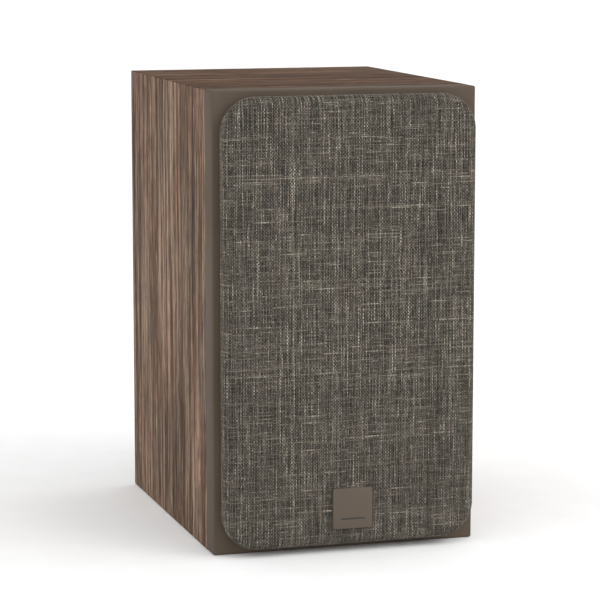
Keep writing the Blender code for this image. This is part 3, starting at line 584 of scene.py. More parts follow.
def threads(name, across, level, unevenness, rng):
    """One set of the cloth's threads: the warp runs up and down (across 0), the weft sideways.
    They come as a few pieces, side by side, so that none is very heavy."""
    pitch, step = (WARP_PITCH, WEFT_PITCH) if across == 0 else (WEFT_PITCH, WARP_PITCH)
    sizes = (CLOTH_W, CLOTH_H) if across == 0 else (CLOTH_H, CLOTH_W)
    half = [size / 2 - FRONT_ROLL + REACH for size in sizes]
    count, steps = 2 * int(half[0] / pitch) + 1, 2 * int(half[1] / step) + 1
    i, j = np.arange(count) - count // 2, np.arange(steps) - steps // 2
    long_wave, short_wave, tint_wave = 14.0, 4.0, 30.0  # steps
    slub = wandering(rng, count, steps, long_wave) * 0.75 + wandering(rng, count, steps, short_wave) * 0.5
    lean = wandering(rng, count, steps, long_wave) * 0.10 * pitch
    lean = lean + rng.standard_normal((count, 1)) * 0.07 * pitch
    own = rng.standard_normal((count, 1))
    side = i[:, None] * pitch + lean
    along = np.broadcast_to(j[None, :] * step, side.shape)
    u, v = (side, along) if across == 0 else (along, side)
    centre, normal, beyond = drape(u, v, SKIN)
    over = 1 - 2 * ((i[:, None] + j[None, :] + across) % 2)
    centre = centre + normal * (over * WAVE)[..., None]
    sideways = unit(np.cross(unit(np.gradient(centre, axis=1)), normal))
    width = THREAD_HALF * pitch * np.clip(1 + 0.14 * slub + 0.08 * own, 0.65, 1.35)
    thick = THREAD_THICK * np.clip(1 + 0.10 * slub, 0.8, 1.15)
    angles = np.arange(THREAD_SIDES) * 2 * math.pi / THREAD_SIDES
    ring = np.cos(angles)[None, None, :, None] * (sideways * width[..., None])[:, :, None, :]
    ring = ring + np.sin(angles)[None, None, :, None] * (normal * thick[..., None])[:, :, None, :]
    points = centre[:, :, None, :] + ring
    tone = level + unevenness * (0.14 * slub + 0.05 * own) + 0.08 * rng.standard_normal(slub.shape)
    tint = 0.5 + 0.22 * wandering(rng, count, steps, tint_wave) + 0.10 * rng.standard_normal((count, 1))
    values = {"tone": np.clip(tone, 0, 1), "tint": np.clip(tint, 0, 1)}
    inside = beyond < REACH - 1e-6
    runs = [np.nonzero(inside[k])[0] for k in range(count)]
    usable = [k for k in range(count) if len(runs[k]) > 3]
    pieces = []
    for number, part in enumerate(np.array_split(usable, THREAD_PIECES)):
        spans = [(k, runs[k][0], runs[k][-1] + 1) for k in part]
        pieces.append(thread_mesh(f"{name}_{number + 1}", spans, points, values))
    return pieces


def thread_mesh(name, spans, points, values):
    """Capped tubes through the rings of points; each span is a thread with its first and last ring."""
    sides = points.shape[2]
    verts, faces, caps, base = [], [], [], 0
    for k, a, b in spans:
        verts.append(points[k, a:b].reshape(-1, 3))
        start = base + np.arange(b - a - 1)[:, None] * sides
        here, after = start + np.arange(sides)[None, :], start + (np.arange(sides)[None, :] + 1) % sides
        faces.append(np.stack([here, here + sides, after + sides, after], -1).reshape(-1, 4))
        last = base + (b - a - 1) * sides
        caps += [list(range(base, base + sides)), list(range(last, last + sides))[::-1]]
        base += (b - a) * sides
    mesh = bpy.data.meshes.new(name)
    mesh.from_pydata(np.concatenate(verts).tolist(), [], np.concatenate(faces).tolist() + caps)
    for label, value in values.items():
        layer = mesh.attributes.new(label, "FLOAT", "POINT")
        rows = np.concatenate([np.repeat(value[k, a:b], sides) for k, a, b in spans])
        layer.data.foreach_set("value", rows.astype(np.float32))
    return linked(name, mesh)


def linen(name, brightness):
    """Slubbed yarn: each thread has its own tone, from dark brown to pale flax, and stray fibres."""
    g = Graph(name)
    at = g.coords()
    tone, tint = [
        g.node("ShaderNodeAttribute", attribute_name=label).outputs["Fac"] for label in ("tone", "tint")
    ]
    tint = g.math("ADD", tint, g.swing(g.noise(at, 45.0, 2.0), 0.9))
    fibre = g.noise(at, 2600.0, 3.0, 0.7)
    fleck = g.noise(at, 1100.0, 2.0, 0.6)
    value = g.math("ADD", g.math("ADD", tone, g.swing(fleck, 0.4)), g.swing(fibre, 0.35))
    stops = (
        (0.08, (0.026, 0.022, 0.017)), (0.36, (0.085, 0.074, 0.059)),
        (0.62, (0.190, 0.170, 0.140)), (0.95, (0.48, 0.45, 0.39)),
    )
    shade = g.ramp(value, [(place, times(colour, brightness)) for place, colour in stops])
    olive = g.mix(1.0, shade, (0.985, 1.0, 0.93), "MULTIPLY")
    mauve = g.mix(1.0, shade, (1.045, 0.975, 0.965), "MULTIPLY")
    shade = g.mix(g.range(tint, 0.25, 0.75, 0.0, 1.0), olive, mauve)
    return g.set(
        colour=shade, roughness=0.88, specular=0.2, sheen=0.12, sheen_roughness=0.5,
        normal=g.bump(fibre, 0.5, 0.05 * MM),
    )


def make_scrim():
    """The fine scrim bonded behind the threads: the closed sheet that the grille's cloth is built on, as
    loops that run round the grille from its hem to the middle of its front.
    Its near-black colour is painted shade: the shadow behind the cloth, seen through the gaps between the
    threads."""
    n = SCRIM_POINTS
    flat_r = CLOTH_CORNER - FRONT_ROLL
    core = (CLOTH_W / 2 - CLOTH_CORNER, CLOTH_H / 2 - CLOTH_CORNER)
    levels = [flat_r + REACH * k / SCRIM_EDGE for k in range(SCRIM_EDGE, 0, -1)]
    levels += [flat_r * k / SCRIM_CORNER for k in range(SCRIM_CORNER, 0, -1)]
    loops = [rounded_outline(2 * (core[0] + q), 2 * (core[1] + q), q, 16) for q in levels]
    loops = [resampled(loop, n) for loop in loops]
    middle = resampled(rounded_outline(2 * core[0], 2 * core[1], 0.01 * MM, 16), n)
    loops += [middle * (1 - k / SCRIM_FLAT) for k in range(SCRIM_FLAT)]
    flat = np.concatenate([np.concatenate(loops), [[0.0, 0.0]]])
    layers = [drape(flat[:, 0], flat[:, 1], 2 * SKIN + depth)[0] for depth in SCRIM_DEPTHS]
    rings, faces = len(loops), []
    for layer in range(2):
        base = layer * len(flat)
        for r in range(rings - 1):
            for k in range(n):
                a, b = base + r * n + k, base + r * n + (k + 1) % n
                faces.append((a, b, b + n, a + n) if layer == 0 else (a, a + n, b + n, b))
        last, tip = base + (rings - 1) * n, base + rings * n
        for k in range(n):
            a, b = last + k, last + (k + 1) % n
            faces.append((a, b, tip) if layer == 0 else (b, a, tip))
    under = len(flat)
    faces += [(k, k + under, (k + 1) % n + under, (k + 1) % n) for k in range(n)]
    return mesh_object("grille_scrim", np.concatenate(layers), faces)


def resampled(loop, count):
    """The closed loop as count points at even steps along it, starting on the right-hand side."""
    points = np.array(loop + loop[:1])
    along = np.concatenate([[0], np.cumsum(np.hypot(*np.diff(points, axis=0).T))])
    at = np.linspace(0, along[-1], count, endpoint=False)
    return np.stack([np.interp(at, along, points[:, i]) for i in (0, 1)], 1)


def make_grille():
    rng = np.random.default_rng(7)
    # Near-black: painted shade, seen through the gaps between the threads.
    scrim_shade_cloth = woven("scrim_shade_cloth", (0.020, 0.018, 0.016), 4000.0)
    scrim = paint(make_scrim(), scrim_shade_cloth, "grille", "grille_cloth")
    sets = (("warp", 0.90, 0.52, 0.82), ("weft", 0.80, 0.28, 1.35))  # brightness, level, unevenness
    for across, (name, brightness, level, unevenness) in enumerate(sets):
        material = linen(f"linen_{name}", brightness)
        for piece in threads(f"grille_{name}", across, level, unevenness, rng):
            paint(piece, material, "grille")
    keep(["grille_frame"], moulded("frame_plastic", (0.018, 0.017, 0.016), 0.55))
    make_badge()


def make_badge():
    """The blank plate: a softly raised square with an eased rim and one plain inlaid line."""
    low, high = FRONT - CLOTH_FRONT - 1.5 * MM, FRONT - CLOTH_FRONT - 0.3 * MM
    outline = rounded_outline(BADGE, BADGE, 0.9 * MM, 4, (0, BADGE_Z))
    plate = slab("badge_plate", outline, low, high, 0.35 * MM, 3, low)
    groove = rounded_outline(15 * MM, 0.9 * MM, 0.44 * MM, 4, (0, BADGE_LINE_Z))
    cut(plate, slab("groove", groove, low - 1 * MM, low + 0.25 * MM))
    finish_shading(plate, 35)
    plate_lacquer = lacquer("badge_lacquer", (0.090, 0.071, 0.055), 0.40, 1800.0, 0.06, 0.15)
    paint(plate, plate_lacquer, "grille", "grille_badge")
    line = rounded_outline(14.8 * MM, 0.7 * MM, 0.34 * MM, 4, (0, BADGE_LINE_Z))
    bar = slab("badge_line", line, low + 0.12 * MM, low + 0.24 * MM)
    paint(bar, moulded("badge_ink", (0.012, 0.011, 0.010), 0.4), "grille")


# ---------------------------------------------------------------- cabinet


def make_cabinet():
    # One walnut wrap in three tones: the sides lighter as painted light, the top and bottom darker as
    # painted shade; the rear panel keeps the plain tone.
    lit_side_tone, shaded_end_tone = (1.17, 1.17, 1.15), (0.76, 0.67, 0.60)
    keep(["left_side_panel"], walnut("walnut_left", "Z", "Y", ("X", 1.0), lit_side_tone, 7.2))
    keep(["right_side_panel"], walnut("walnut_right", "Z", "Y", ("X", -1.0), lit_side_tone, 5.9))
    keep(["top_panel"], walnut("walnut_top", "X", "Y", ("Z", -1.0), shaded_end_tone, 9.4))
    keep(["bottom_panel"], walnut("walnut_bottom", "X", "Y", ("Z", 1.0), shaded_end_tone, 14.2))
    make_baffle()
    make_rear_panel()


def make_baffle():
    shape = block((WIDTH, BAFFLE, HEIGHT), (0, FRONT + BAFFLE / 2, HEIGHT / 2))
    rims = [e for e in shape.edges if min(v.co.y for v in e.verts) < FRONT + 1e-6]
    bmesh.ops.bevel(shape, geom=rims, offset=BAFFLE_EDGE, segments=6, profile=0.5, affect="EDGES")
    baffle = from_bmesh("baffle", shape)
    recess = FLANGE + GAP
    for z, flange, hole in ((WOOFER_Z, WOOFER_R, WOOFER_HOLE), (TWEETER_Z, TWEETER_R, TWEETER_HOLE)):
        outer = flange + GAP
        profile = [
            (0, 5 * MM), (outer + 0.3 * MM, 5 * MM), (outer + 0.3 * MM, 0), (outer, -0.3 * MM),
            (outer, -recess), (hole, -recess), (hole, -20 * MM), (0, -20 * MM),
        ]
        cut(baffle, lathe("seat", profile, (0, z), -1, 192, closed=False, sharp=0))
    for centre in PEGS:
        drill(baffle, PEG_HOLE, FRONT - 5 * MM, FRONT + PEG_DEPTH, centre, 48)
    finish_shading(baffle, 30)
    baffle_lacquer = lacquer("baffle_lacquer", (0.092, 0.071, 0.053), 0.45, 2400.0, 0.08, 0.04)
    paint(baffle, baffle_lacquer, "cabinet", "front_baffle")
    rubber = moulded("socket_rubber", (0.015, 0.015, 0.015), 0.7)
    mouth = mm((3.4, -8.9), (3.4, 0.6), (3.8, 0.9), (5.4, 0.9), (5.8, 0.3), (4.7, 0.3), (4.7, -10))
    floor = mm((0, -10), (0, -8.9))
    for i, centre in enumerate(PEGS):
        cup = lathe(f"socket_{i + 1}", eased(mouth, 0.25 * MM, 3, False) + floor, centre, -1, 48)
        paint(cup, rubber, "cabinet", f"grille_socket_{i + 1}")


def make_rear_panel():
    width, height = WIDTH - 2 * WALL - 2 * GAP, HEIGHT - 2 * WALL - 2 * GAP
    outline = rounded_outline(width, height, 0.5 * MM, 3, (0, HEIGHT / 2))
    panel = slab("rear_board", outline, BACK - WALL, BACK, 0.25 * MM, 2, BACK)
    port_seat = mm((0, 5), (34.8, 5), (34.8, -2.3), (31.5, -2.3), (31.5, -20), (0, -20))
    cut(panel, lathe("seat", port_seat, (0, PORT_Z), 1, 160, closed=False, sharp=0))
    pockets = (  # millimetres: width, height, corner, its pieces, middle, depth, rise past the face
        (84.6, 54.6, 8.3, 8, TERMINAL_Z, 2.3, 5),
        (58, 34, 6, 6, TERMINAL_Z, 20, 0),
        (50.6, 24.6, 3.3, 6, KEYHOLE_Z, 1.8, 5),
        (13, 20, 4, 6, KEYHOLE_Z, 9, 0),
    )
    for width, height, corner, pieces, z, depth, rise in pockets:
        outline = rounded_outline(width * MM, height * MM, corner * MM, pieces, (0, z))
        cut(panel, slab("seat", outline, BACK - depth * MM, BACK + rise * MM))
    for centre in TERMINAL_SCREWS + BRACKET_SCREWS:
        drill(panel, SCREW_HOLE, BACK - 10.5 * MM, BACK, centre, 24)
    finish_shading(panel, 30)
    grain = walnut("walnut_rear", "Z", "X", ("Y", 1.0), (1, 1, 1), 23.0)
    paint(panel, grain, "cabinet", "rear_panel")


# ---------------------------------------------------------------- drivers


def screw(name, centre, facing, lift, head, length, material, node):
    """A pan-head screw with an eased rim, a hexagonal recess and a threaded shank."""
    high, pitch, root = 1.8 * MM, 0.9 * MM, SHANK * 0.8
    profile = [
        (0, high), (head * 0.55, high), (head * 0.86, high * 0.82), (head, high * 0.45), (head, 0),
        (SHANK, 0),
    ]
    for k in range(int((length - 3 * MM) / pitch)):
        at = -1.5 * MM - k * pitch
        profile += [(SHANK, at), (SHANK, at - 0.25 * MM), (root, at - 0.5 * MM), (root, at - 0.7 * MM)]
    profile += [(root, -length + 1.2 * MM), (0, -length)]
    profile = [(r, h + lift) for r, h in profile]
    profile = profile[:1] + eased(profile[1:5], 0.3 * MM, 3, False) + profile[5:]
    piece = lathe(name, profile, centre, facing, 48, closed=False)
    y = (FRONT if facing < 0 else BACK) + facing * (lift + high)
    low, top = sorted((y - facing * high * 0.62, y + facing * 2 * MM))
    drill(piece, head * 0.42, low, top, centre, 6)
    finish_shading(piece, 32)
    return paint(piece, material, "cabinet", node)


def screwed(target, label, places, facing, lift, head, length, material):
    """Drills the target at each place and puts a screw there."""
    face = FRONT if facing < 0 else BACK
    for k, place in enumerate(places):
        drill(target, SCREW_HOLE, face - THROUGH, face + THROUGH, place, 32)
        name, node = f"{label}_bolt_{k + 1}", f"{label}_screw_{k + 1}"
        screw(name, place, facing, lift, head, length, material, node)


def round_the_circle(z, radius, count, first):
    angles = [math.radians(first + 360 / count * k) for k in range(count)]
    return [(radius * math.cos(a), z + radius * math.sin(a)) for a in angles]


def thickened(line, thickness):
    """The closed outline of a sheet whose middle line is given, as (radius, height) points."""
    upper, lower = [], []
    for i, (x, y) in enumerate(line):
        before, after = line[max(i - 1, 0)], line[min(i + 1, len(line) - 1)]
        normal = Vector((before[1] - after[1], after[0] - before[0])).normalized()
        if x < 1e-9:
            normal = Vector((0, 1 if normal.y > 0 else -1))
        offset = normal * thickness / 2
        upper.append((x + offset.x, y + offset.y))
        lower.append((x - offset.x, y - offset.y))
    return upper + lower[::-1]


def cap_line(radius, rim, rise, pieces=20):
    """The middle line of a spherical cap of that radius, from its top to its rim."""
    sphere = (radius**2 + rise**2) / (2 * rise)
    full = math.asin(min(1, radius / sphere))
    angles = [full * i / pieces for i in range(pieces + 1)]
    return [(sphere * math.sin(a), rim + rise - sphere * (1 - math.cos(a))) for a in angles]


def flexing(piece, material, node):
    """A ring held by the cabinet at its outer edge and by the moving body at its inner edge; here it gets
    its material, goes on no body and has its transform baked into its mesh.
    """
    paint(piece, material, None, node)
    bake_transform(piece)


def make_woofer():
    at = (0, WOOFER_Z)
    black = lacquer("basket_paint", (0.022, 0.022, 0.023), 0.42, 1500.0, 0.2)
    bolt = metal("black_bolt", BLACK_STEEL, 0.35, at)
    profile = [(WOOFER_R, -FLANGE), (WOOFER_R, -0.2 * MM), (WOOFER_R - 0.6 * MM, 0.3 * MM)]
    profile += mm(
        (64, 0.3), (63.6, -2.2), (57.6, -2.2), (57.4, -5), (43.6, -28.8), (38, -28.8), (37.5, -41),
        (24, -41), (24, -44), (40, -44), (41, -31.5), (46, -30.5), (60, -6.5), (60.5, -4),
    )
    basket = lathe("woofer_chassis", eased(profile, 0.3 * MM, 3), at, -1, 160)
    for k in range(4):
        shape = block((30 * MM, 19 * MM, 46 * MM))
        lengthwise = [e for e in shape.edges if abs(e.verts[0].co.x - e.verts[1].co.x) > 1e-6]
        bmesh.ops.bevel(shape, geom=lengthwise, offset=3 * MM, segments=3, profile=0.5, affect="EDGES")
        bmesh.ops.translate(shape, vec=(56 * MM, FRONT + 17.5 * MM, 0), verts=shape.verts)
        bmesh.ops.rotate(shape, matrix=Matrix.Rotation(k * math.pi / 2, 3, "Y"), verts=shape.verts)
        bmesh.ops.translate(shape, vec=(0, 0, WOOFER_Z), verts=shape.verts)
        cut(basket, from_bmesh("window", shape, 0))
    places = round_the_circle(WOOFER_Z, WOOFER_SCREWS, 4, 45)
    screwed(basket, "woofer", places, -1, 0.6 * MM, 3.3 * MM, 13.5 * MM, bolt)
    finish_shading(basket, 32)
    paint(basket, black, "cabinet", "woofer_basket")

    rubber = moulded("surround_rubber", (0.020, 0.020, 0.021), 0.62, 2200.0, 0.15)
    roll = mm((63.4, -1.5), (60.5, -1.5), (58.9, -1.45))
    roll += arc((53.4 * MM, -1 * MM), 5 * MM, 0, 180, 28) + mm((47.4, -1.15), (46, -1.2))
    surround = lathe("woofer_roll", thickened(roll, 0.8 * MM), at, -1, 160)
    flexing(surround, rubber, "woofer_surround")

    inner, width, bottom, rise, bulge, line = 14.2, 33.4, -23.5, 21, 0.25, []
    for k in range(25):
        t = k / 24
        line.append(((inner + width * t) * MM, (bottom + rise * (t + bulge * t * (1 - t))) * MM))
    cone = lathe("woofer_diaphragm", thickened(line, 0.9 * MM), at, -1, 160)
    paper = pulp("cone_pulp", (0.060, 0.036, 0.024), at, 1.3)
    paint(cone, paper, "woofer_moving", "woofer_cone")
    line = cap_line(18.5 * MM, -18.6 * MM, 6 * MM)
    cap = lathe("woofer_cap", thickened(line, 0.8 * MM), at, -1, 128)
    paper = pulp("cap_pulp", (0.045, 0.028, 0.020), at, 0.6)
    paint(cap, paper, "woofer_moving", "woofer_dust_cap")
    keep(["woofer_voice_coil"], winding("coil_copper", COPPER))

    inner, outer, line = 13.4 * MM, 43 * MM, []
    level, swing, waves, flat_from = -28.2, 1.1, 5.2, 0.84  # the corrugation ends in a flat landing
    for k in range(97):
        t = k / 96
        r = inner + (outer - inner) * t
        fade = min(1, t / 0.08, (flat_from - t) / 0.06) if t < flat_from else 0
        line.append((r, (level + swing * math.sin((t - 0.06) * 2 * math.pi * waves) * max(0, fade)) * MM))
    ring = lathe("woofer_centring", thickened(line, 0.5 * MM), at, -1, 96)
    cloth = woven("spider_cloth", (0.50, 0.33, 0.12), 1400.0)
    flexing(ring, cloth, "woofer_spider")
    keep(["woofer_top_plate", "woofer_yoke"], metal("plated_steel", BRIGHT_STEEL, 0.3, at))
    keep(["woofer_magnet"], moulded("ferrite", FERRITE, 0.6, 900.0, 0.5))


def make_tweeter():
    at = (0, TWEETER_Z)
    profile = [(TWEETER_R, -FLANGE), (TWEETER_R, -0.2 * MM), (TWEETER_R - 0.6 * MM, 0.3 * MM)]
    profile += mm((36, 0.3), (30, -0.3), (23, -2), (18.6, -4.6), (18.6, -8), (36, -8), (36, -4))
    plate = lathe("tweeter_plate", eased(profile, 1.2 * MM, 6), at, -1, 160)
    bolt = metal("black_bolt_small", BLACK_STEEL, 0.35, at)
    places = round_the_circle(TWEETER_Z, TWEETER_SCREWS, 3, 90)
    screwed(plate, "tweeter", places, -1, 0.6 * MM, 3 * MM, 13 * MM, bolt)
    finish_shading(plate, 30)
    plastic = moulded("faceplate_plastic", BLACK_PLASTIC, 0.42, 2600.0, 0.18)
    paint(plate, plastic, "cabinet", "tweeter_faceplate")
    silk = woven("coated_silk", (0.022, 0.021, 0.022), 3600.0, 0.6, 0.25, 0.3)
    roll = mm((21, -8.9), (19.4, -8.9)) + arc((16.6 * MM, -8.7 * MM), 1.4 * MM, 0, 180, 16)
    surround = lathe("tweeter_roll", thickened(roll, 0.4 * MM), at, -1, 128)
    flexing(surround, silk, "tweeter_surround")
    dome = cap_line(14.6 * MM, -8.8 * MM, 5.6 * MM, 24)
    cap = lathe("tweeter_diaphragm", thickened(dome, 0.5 * MM), at, -1, 128)
    paint(cap, silk, "tweeter_moving", "tweeter_dome")
    keep(["tweeter_voice_coil"], winding("coil_copper_fine", COPPER, 4000.0))
    keep(["tweeter_top_plate", "tweeter_yoke"], metal("plated_steel_small", BRIGHT_STEEL, 0.3, at))
    keep(["tweeter_magnet"], moulded("ferrite_small", FERRITE, 0.6, 900.0, 0.5))
    keep(["tweeter_rear_cup"], moulded("cup_plastic", (0.022, 0.022, 0.022), 0.5))


# ---------------------------------------------------------------- back


def flare(throat, mouth, start, end, pieces):
    """A quarter of an ellipse, from the throat's radius at start to the mouth's at end."""
    points = []
    for i in range(pieces + 1):
        a = math.pi / 2 * i / pieces
        points.append((mouth - (mouth - throat) * math.cos(a), start + (end - start) * math.sin(a)))
    return points


def make_port():
    end = -112 * MM
    bore = flare(19 * MM, 30 * MM, -13 * MM, 1 * MM, 20)
    bore_back = flare(19 * MM, 28 * MM, end + 12 * MM, end, 12)
    shell_back = flare(21 * MM, 29 * MM, end + 14 * MM, end + 1.5 * MM, 8)
    shell = flare(21 * MM, 31.2 * MM, -14 * MM, -2 * MM, 8)
    outer = mm((34.5, -2), (34.5, 0.3), (34.2, 0.75), (33.7, 1))
    profile = bore_back[::-1] + bore + outer[::-1] + shell[::-1] + shell_back
    tube = lathe("port_flare", profile, (0, PORT_Z), 1, 160)
    plastic = moulded("port_plastic", BLACK_PLASTIC, 0.42, 2800.0, 0.2)
    paint(tube, plastic, "cabinet", "port_tube")


def make_terminals():
    outline = rounded_outline(84 * MM, 54 * MM, 8 * MM, 10, (0, TERMINAL_Z))
    plate = slab("terminal_cup", outline, BACK - 2 * MM, BACK + 1 * MM, 0.8 * MM, 5, BACK + 1 * MM)
    bolt = metal("terminal_bolt", BLACK_STEEL, 0.35)
    screwed(plate, "terminal", TERMINAL_SCREWS, 1, 1.3 * MM, 3 * MM, 10 * MM, bolt)
    groove = mm((8.6, 2), (9.4, 2), (9.4, 0.7), (8.6, 0.7))
    for x in POSTS.values():
        drill(plate, POST_HOLE, BACK - THROUGH, BACK + THROUGH, (x, TERMINAL_Z), 48)
        cut(plate, lathe("groove", groove, (x, TERMINAL_Z), 1, 96, sharp=0))
    finish_shading(plate, 30)
    plastic = moulded("terminal_plastic", BLACK_PLASTIC, 0.45, 2600.0, 0.3)
    paint(plate, plastic, "cabinet", "terminal_plate")
    red = moulded("cap_red", (0.42, 0.018, 0.016), 0.32, 1800.0, 0.06)
    black = moulded("cap_black", (0.016, 0.016, 0.017), 0.32, 1800.0, 0.06)
    make_post("plus", (POSTS["plus"], TERMINAL_Z), red)
    make_post("minus", (POSTS["minus"], TERMINAL_Z), black)


def make_post(name, at, cap_material):
    gold = metal(f"gilt_{name}", (0.83, 0.62, 0.28), 0.22, at)
    stem = mm(
        (2, 13.4), (2.7, 13.4), (3, 13), (3, 3.3), (6.4, 3.3), (6.4, 1.3), (3, 1.3), (3, -2.3),
        (5.5, -2.3), (5.5, -5.5), (3, -5.5), (3, -13), (0, -13), (0, -1), (2, -1),
    )
    body = lathe(f"post_core_{name}", eased(stem[:12], 0.15 * MM, 2, False) + stem[12:], at, 1, 64)
    wire_hole = block((16 * MM, 2.2 * MM, 2.2 * MM), (at[0], BACK + 5.8 * MM, at[1]))
    cut(body, from_bmesh("hole", wire_hole, 0))
    finish_shading(body, 30)
    paint(body, gold, "cabinet", f"post_stem_{name}")
    ring = mm((3.3, 4.5), (6.4, 4.5), (6.4, 3.6), (3.3, 3.6))
    washer = lathe(f"post_ring_{name}", eased(ring, 0.15 * MM, 2), at, 1, 64)
    paint(washer, gold, f"washer_{name}", f"post_washer_{name}")
    cap = knurled_cap(f"post_knob_{name}", at)
    paint(cap, cap_material, f"cap_{name}", f"post_cap_{name}")


def knurled_cap(name, at, ribs=24, per_rib=6):
    """A turned cap whose skirt carries rounded ribs; it tapers at its mouth."""
    low, high, bore, rib_height = 4.8 * MM, 14.2 * MM, 3.3 * MM, 0.33 * MM
    profile = [  # radius, height and how much of the rib stands there
        (bore, low, 0), (6.6 * MM, low, 0), (7.2 * MM, low + 0.35 * MM, 0.4), (7.6 * MM, low + 0.9 * MM, 1),
        (7.6 * MM, high - 3.6 * MM, 1), (7.3 * MM, high - 2.3 * MM, 0.8), (7.0 * MM, high - 1.2 * MM, 0.2),
        (6.6 * MM, high - 0.4 * MM, 0), (6.0 * MM, high, 0), (bore + 0.5 * MM, high, 0),
        (bore, high - 0.5 * MM, 0),
    ]
    n, verts = ribs * per_rib, []
    for r, h, rib in profile:
        for k in range(n):
            a = 2 * math.pi * k / n
            out = r + rib * rib_height * math.cos(ribs * a)
            verts.append((at[0] + out * math.cos(a), BACK + h, at[1] + out * math.sin(a)))
    faces = []
    for i in range(len(profile)):
        a, b = i * n, ((i + 1) % len(profile)) * n
        faces += [(a + k, a + (k + 1) % n, b + (k + 1) % n, b + k) for k in range(n)]
    return finish_shading(face_outwards(mesh_object(name, verts, faces)), 45)


def make_bracket():
    outline = rounded_outline(50 * MM, 24 * MM, 3 * MM, 8, (0, KEYHOLE_Z))
    plate = slab("bracket_plate", outline, BACK - 1.5 * MM, BACK, 0.15 * MM, 2, BACK)
    entry, slot = 4.6 * MM, 2.4 * MM
    side = math.degrees(math.asin(slot / entry))
    hole = arc((0, KEYHOLE_Z - 4 * MM), entry, 90 + side, 450 - side, 48)
    hole += arc((0, KEYHOLE_Z + 5.5 * MM), slot, 0, 180, 20)
    cut(plate, slab("hole", hole, BACK - THROUGH, BACK + THROUGH))
    bolt = metal("zinc_bolt", (0.66, 0.66, 0.64), 0.3)
    screwed(plate, "bracket", BRACKET_SCREWS, 1, 0.3 * MM, 3.2 * MM, 9 * MM, bolt)
    finish_shading(plate, 30)
    zinc = metal("zinc_sheet", (0.60, 0.60, 0.58), 0.34, None, 0.5)
    paint(plate, zinc, "cabinet", "keyhole_bracket")


# ---------------------------------------------------------------- inside


def make_inside():
    keep(["crossover_board"], lacquer("solder_mask", (0.020, 0.10, 0.045), 0.35, 900.0, 0.2))
    keep(["woofer_inductor"], winding("inductor_copper", COPPER, 900.0, "Z"))
    keep(["tweeter_inductor"], winding("inductor_copper_fine", COPPER, 1300.0, "Z"))
    keep(["film_capacitor"], lacquer("capacitor_tape", (0.55, 0.36, 0.05), 0.32, 700.0, 0.2))
    sheath = moulded("lead_sheath", (0.30, 0.30, 0.30), 0.45, 2000.0, 0.1)
    keep(["input_lead", "woofer_lead", "tweeter_lead"], sheath)
    make_wadding()


def make_wadding():
    """The pad of polyester fibre, crowned and lumpy, wedged between the side walls."""
    low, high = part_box("damping_wadding")
    size, middle = high - low, (high + low) / 2
    shape = bmesh.new()
    bmesh.ops.create_cube(shape, size=1)
    bmesh.ops.subdivide_edges(shape, edges=shape.edges, cuts=1, use_grid_fill=True)
    bmesh.ops.scale(shape, vec=size, verts=shape.verts)
    bmesh.ops.translate(shape, vec=middle, verts=shape.verts)
    pad = from_bmesh("wadding_pad", shape, 0)
    modifier = pad.modifiers.new("soft", "SUBSURF")
    modifier.levels = modifier.render_levels = 5
    mesh = applied(pad)
    co = np.array([v.co for v in mesh.vertices], float)
    box_low, box_high = co.min(0), co.max(0)
    waves = (((210, 90, 40), 0.3), ((-120, 260, 70), 1.9), ((330, -180, 150), 4.1))
    lumps = sum(np.sin(co @ np.array(k) + phase) for k, phase in waves)
    centre = np.array(middle)
    square = (co - centre) / (box_high - box_low) * 2
    squareness, inset, lump_height = 0.72, 0.8 * MM, 0.25 * MM  # squareness 1 keeps the round form
    full = centre + np.sign(square) * np.abs(square) ** squareness * (np.array(size) / 2 - inset)
    full[:, 2] += lump_height * lumps
    for vertex, place in zip(mesh.vertices, full):
        vertex.co = place
    mesh.shade_smooth()
    g = Graph("wadding_fibre")
    at = g.coords()
    fibre = g.noise(g.scaled(at, (1400, 1400, 300)), 1.0, 5.0, 0.75, 2.5)
    shade = g.ramp(fibre, [(0.3, (0.55, 0.55, 0.52)), (0.7, (0.86, 0.86, 0.83))])
    shade = g.mix(g.range(g.noise(at, 60.0, 3.0), 0.3, 0.7, 0.0, 0.3), shade, (0.68, 0.67, 0.62))
    fluff = g.bump(fibre, 0.9, 0.5 * MM)
    material = g.set(colour=shade, roughness=0.95, sheen=0.4, sheen_roughness=0.6, normal=fluff)
    paint(pad, material, "cabinet", "damping_wadding")


# ---------------------------------------------------------------- stage, light and camera

FLOOR_HALF, FLOOR_DROP = 30, 0.2 * MM
SKY_LEVEL = 1.20
SKY_SIDES, SKY_RIGHT, SKY_BACK, SKY_UP = 0.35, 0.15, -0.45, -0.30  # change of the sky's strength
FLAG = 0.35  # how much of the sky low behind the part is held back
CAMERA_PLACE = (-0.45958, -1.53605, 0.37572)
CAMERA_DOWN, CAMERA_RIGHT = 8.556, 16.756  # degrees
LENS, SENSOR = 154.74, 36  # millimetres


def make_floor():
    shape = bmesh.new()
    bmesh.ops.create_grid(shape, x_segments=1, y_segments=1, size=FLOOR_HALF)
    floor = from_bmesh("floor", shape, 0)
    floor.location.z = -FLOOR_DROP
    g = Graph("floor_paint")
    shade = g.ramp(g.noise(g.coords(), 40.0, 2.0), [(0.3, (0.93, 0.93, 0.93)), (0.7, (0.95, 0.95, 0.95))])
    floor.data.materials.append(g.set(colour=shade, roughness=0.9, specular=0.0))


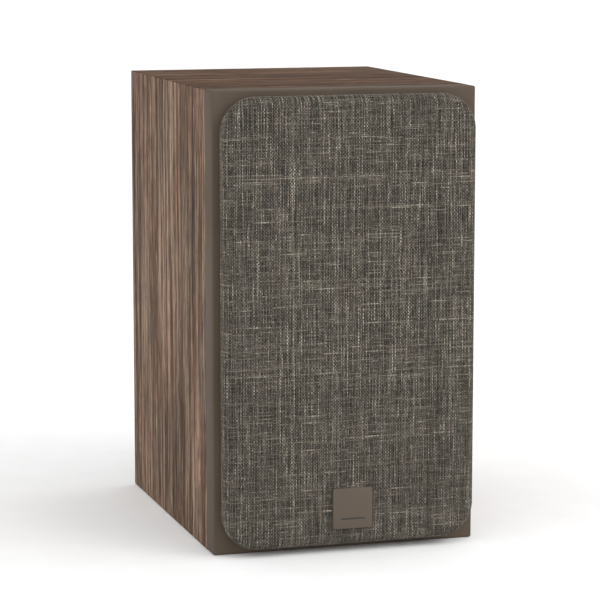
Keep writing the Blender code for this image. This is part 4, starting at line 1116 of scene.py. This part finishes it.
def make_sky():
    """A white sky: stronger at the sides and in front, weaker above, held back low behind."""
    g = Graph("studio", bpy.data.worlds)
    bpy.context.scene.world = g.block
    axes = g.axes(g.node("ShaderNodeTexCoord").outputs["Generated"])
    sides = g.math("ABSOLUTE", axes["X"])
    glow = SKY_LEVEL
    parts = ((sides, SKY_SIDES), (axes["X"], SKY_RIGHT), (axes["Y"], SKY_BACK), (axes["Z"], SKY_UP))
    for source, weight in parts:
        glow = g.math("MULTIPLY_ADD", source, weight, glow)
    behind = g.range(axes["Y"], 0.3, 0.85, 0.0, FLAG, "SMOOTHSTEP")
    low = g.range(axes["Z"], 0.25, 0.6, 1.0, 0.0, "SMOOTHSTEP")
    g.put(g.shader.inputs["Strength"], g.math("SUBTRACT", glow, g.math("MULTIPLY", behind, low)))
    g.put(g.shader.inputs["Color"], (1, 1, 1, 1))


def lamp(name, place, target, size, power):
    data = bpy.data.lights.new(name, "AREA")
    data.shape = "RECTANGLE"
    data.size = data.size_y = size
    data.energy = power
    obj = bpy.data.objects.new(name, data)
    obj.location = place
    direction = Vector(target) - Vector(place)
    obj.rotation_euler = direction.to_track_quat("-Z", "Y").to_euler()
    bpy.context.scene.collection.objects.link(obj)


def make_camera():
    data = bpy.data.cameras.new("camera")
    data.sensor_width, data.lens = SENSOR, LENS
    data.clip_start, data.clip_end = 0.05, 100
    camera = bpy.data.objects.new("camera", data)
    camera.location = CAMERA_PLACE
    camera.rotation_euler = (math.radians(90 - CAMERA_DOWN), 0, math.radians(-CAMERA_RIGHT))
    bpy.context.scene.collection.objects.link(camera)
    bpy.context.scene.camera = camera


make_grille()
make_cabinet()
make_woofer()
make_tweeter()
make_port()
make_terminals()
make_bracket()
make_inside()
make_floor()
make_sky()
lamp("key", (1.7, -2.0, 1.7), (0, 0, 0.16), 1.6, 18)
lamp("fill", (-1.5, -2.2, 1.6), (0, 0, 0.14), 1.6, 2)
make_camera()

bpy.context.scene.view_settings.view_transform = "Standard"
bpy.context.scene.view_settings.look = "None"
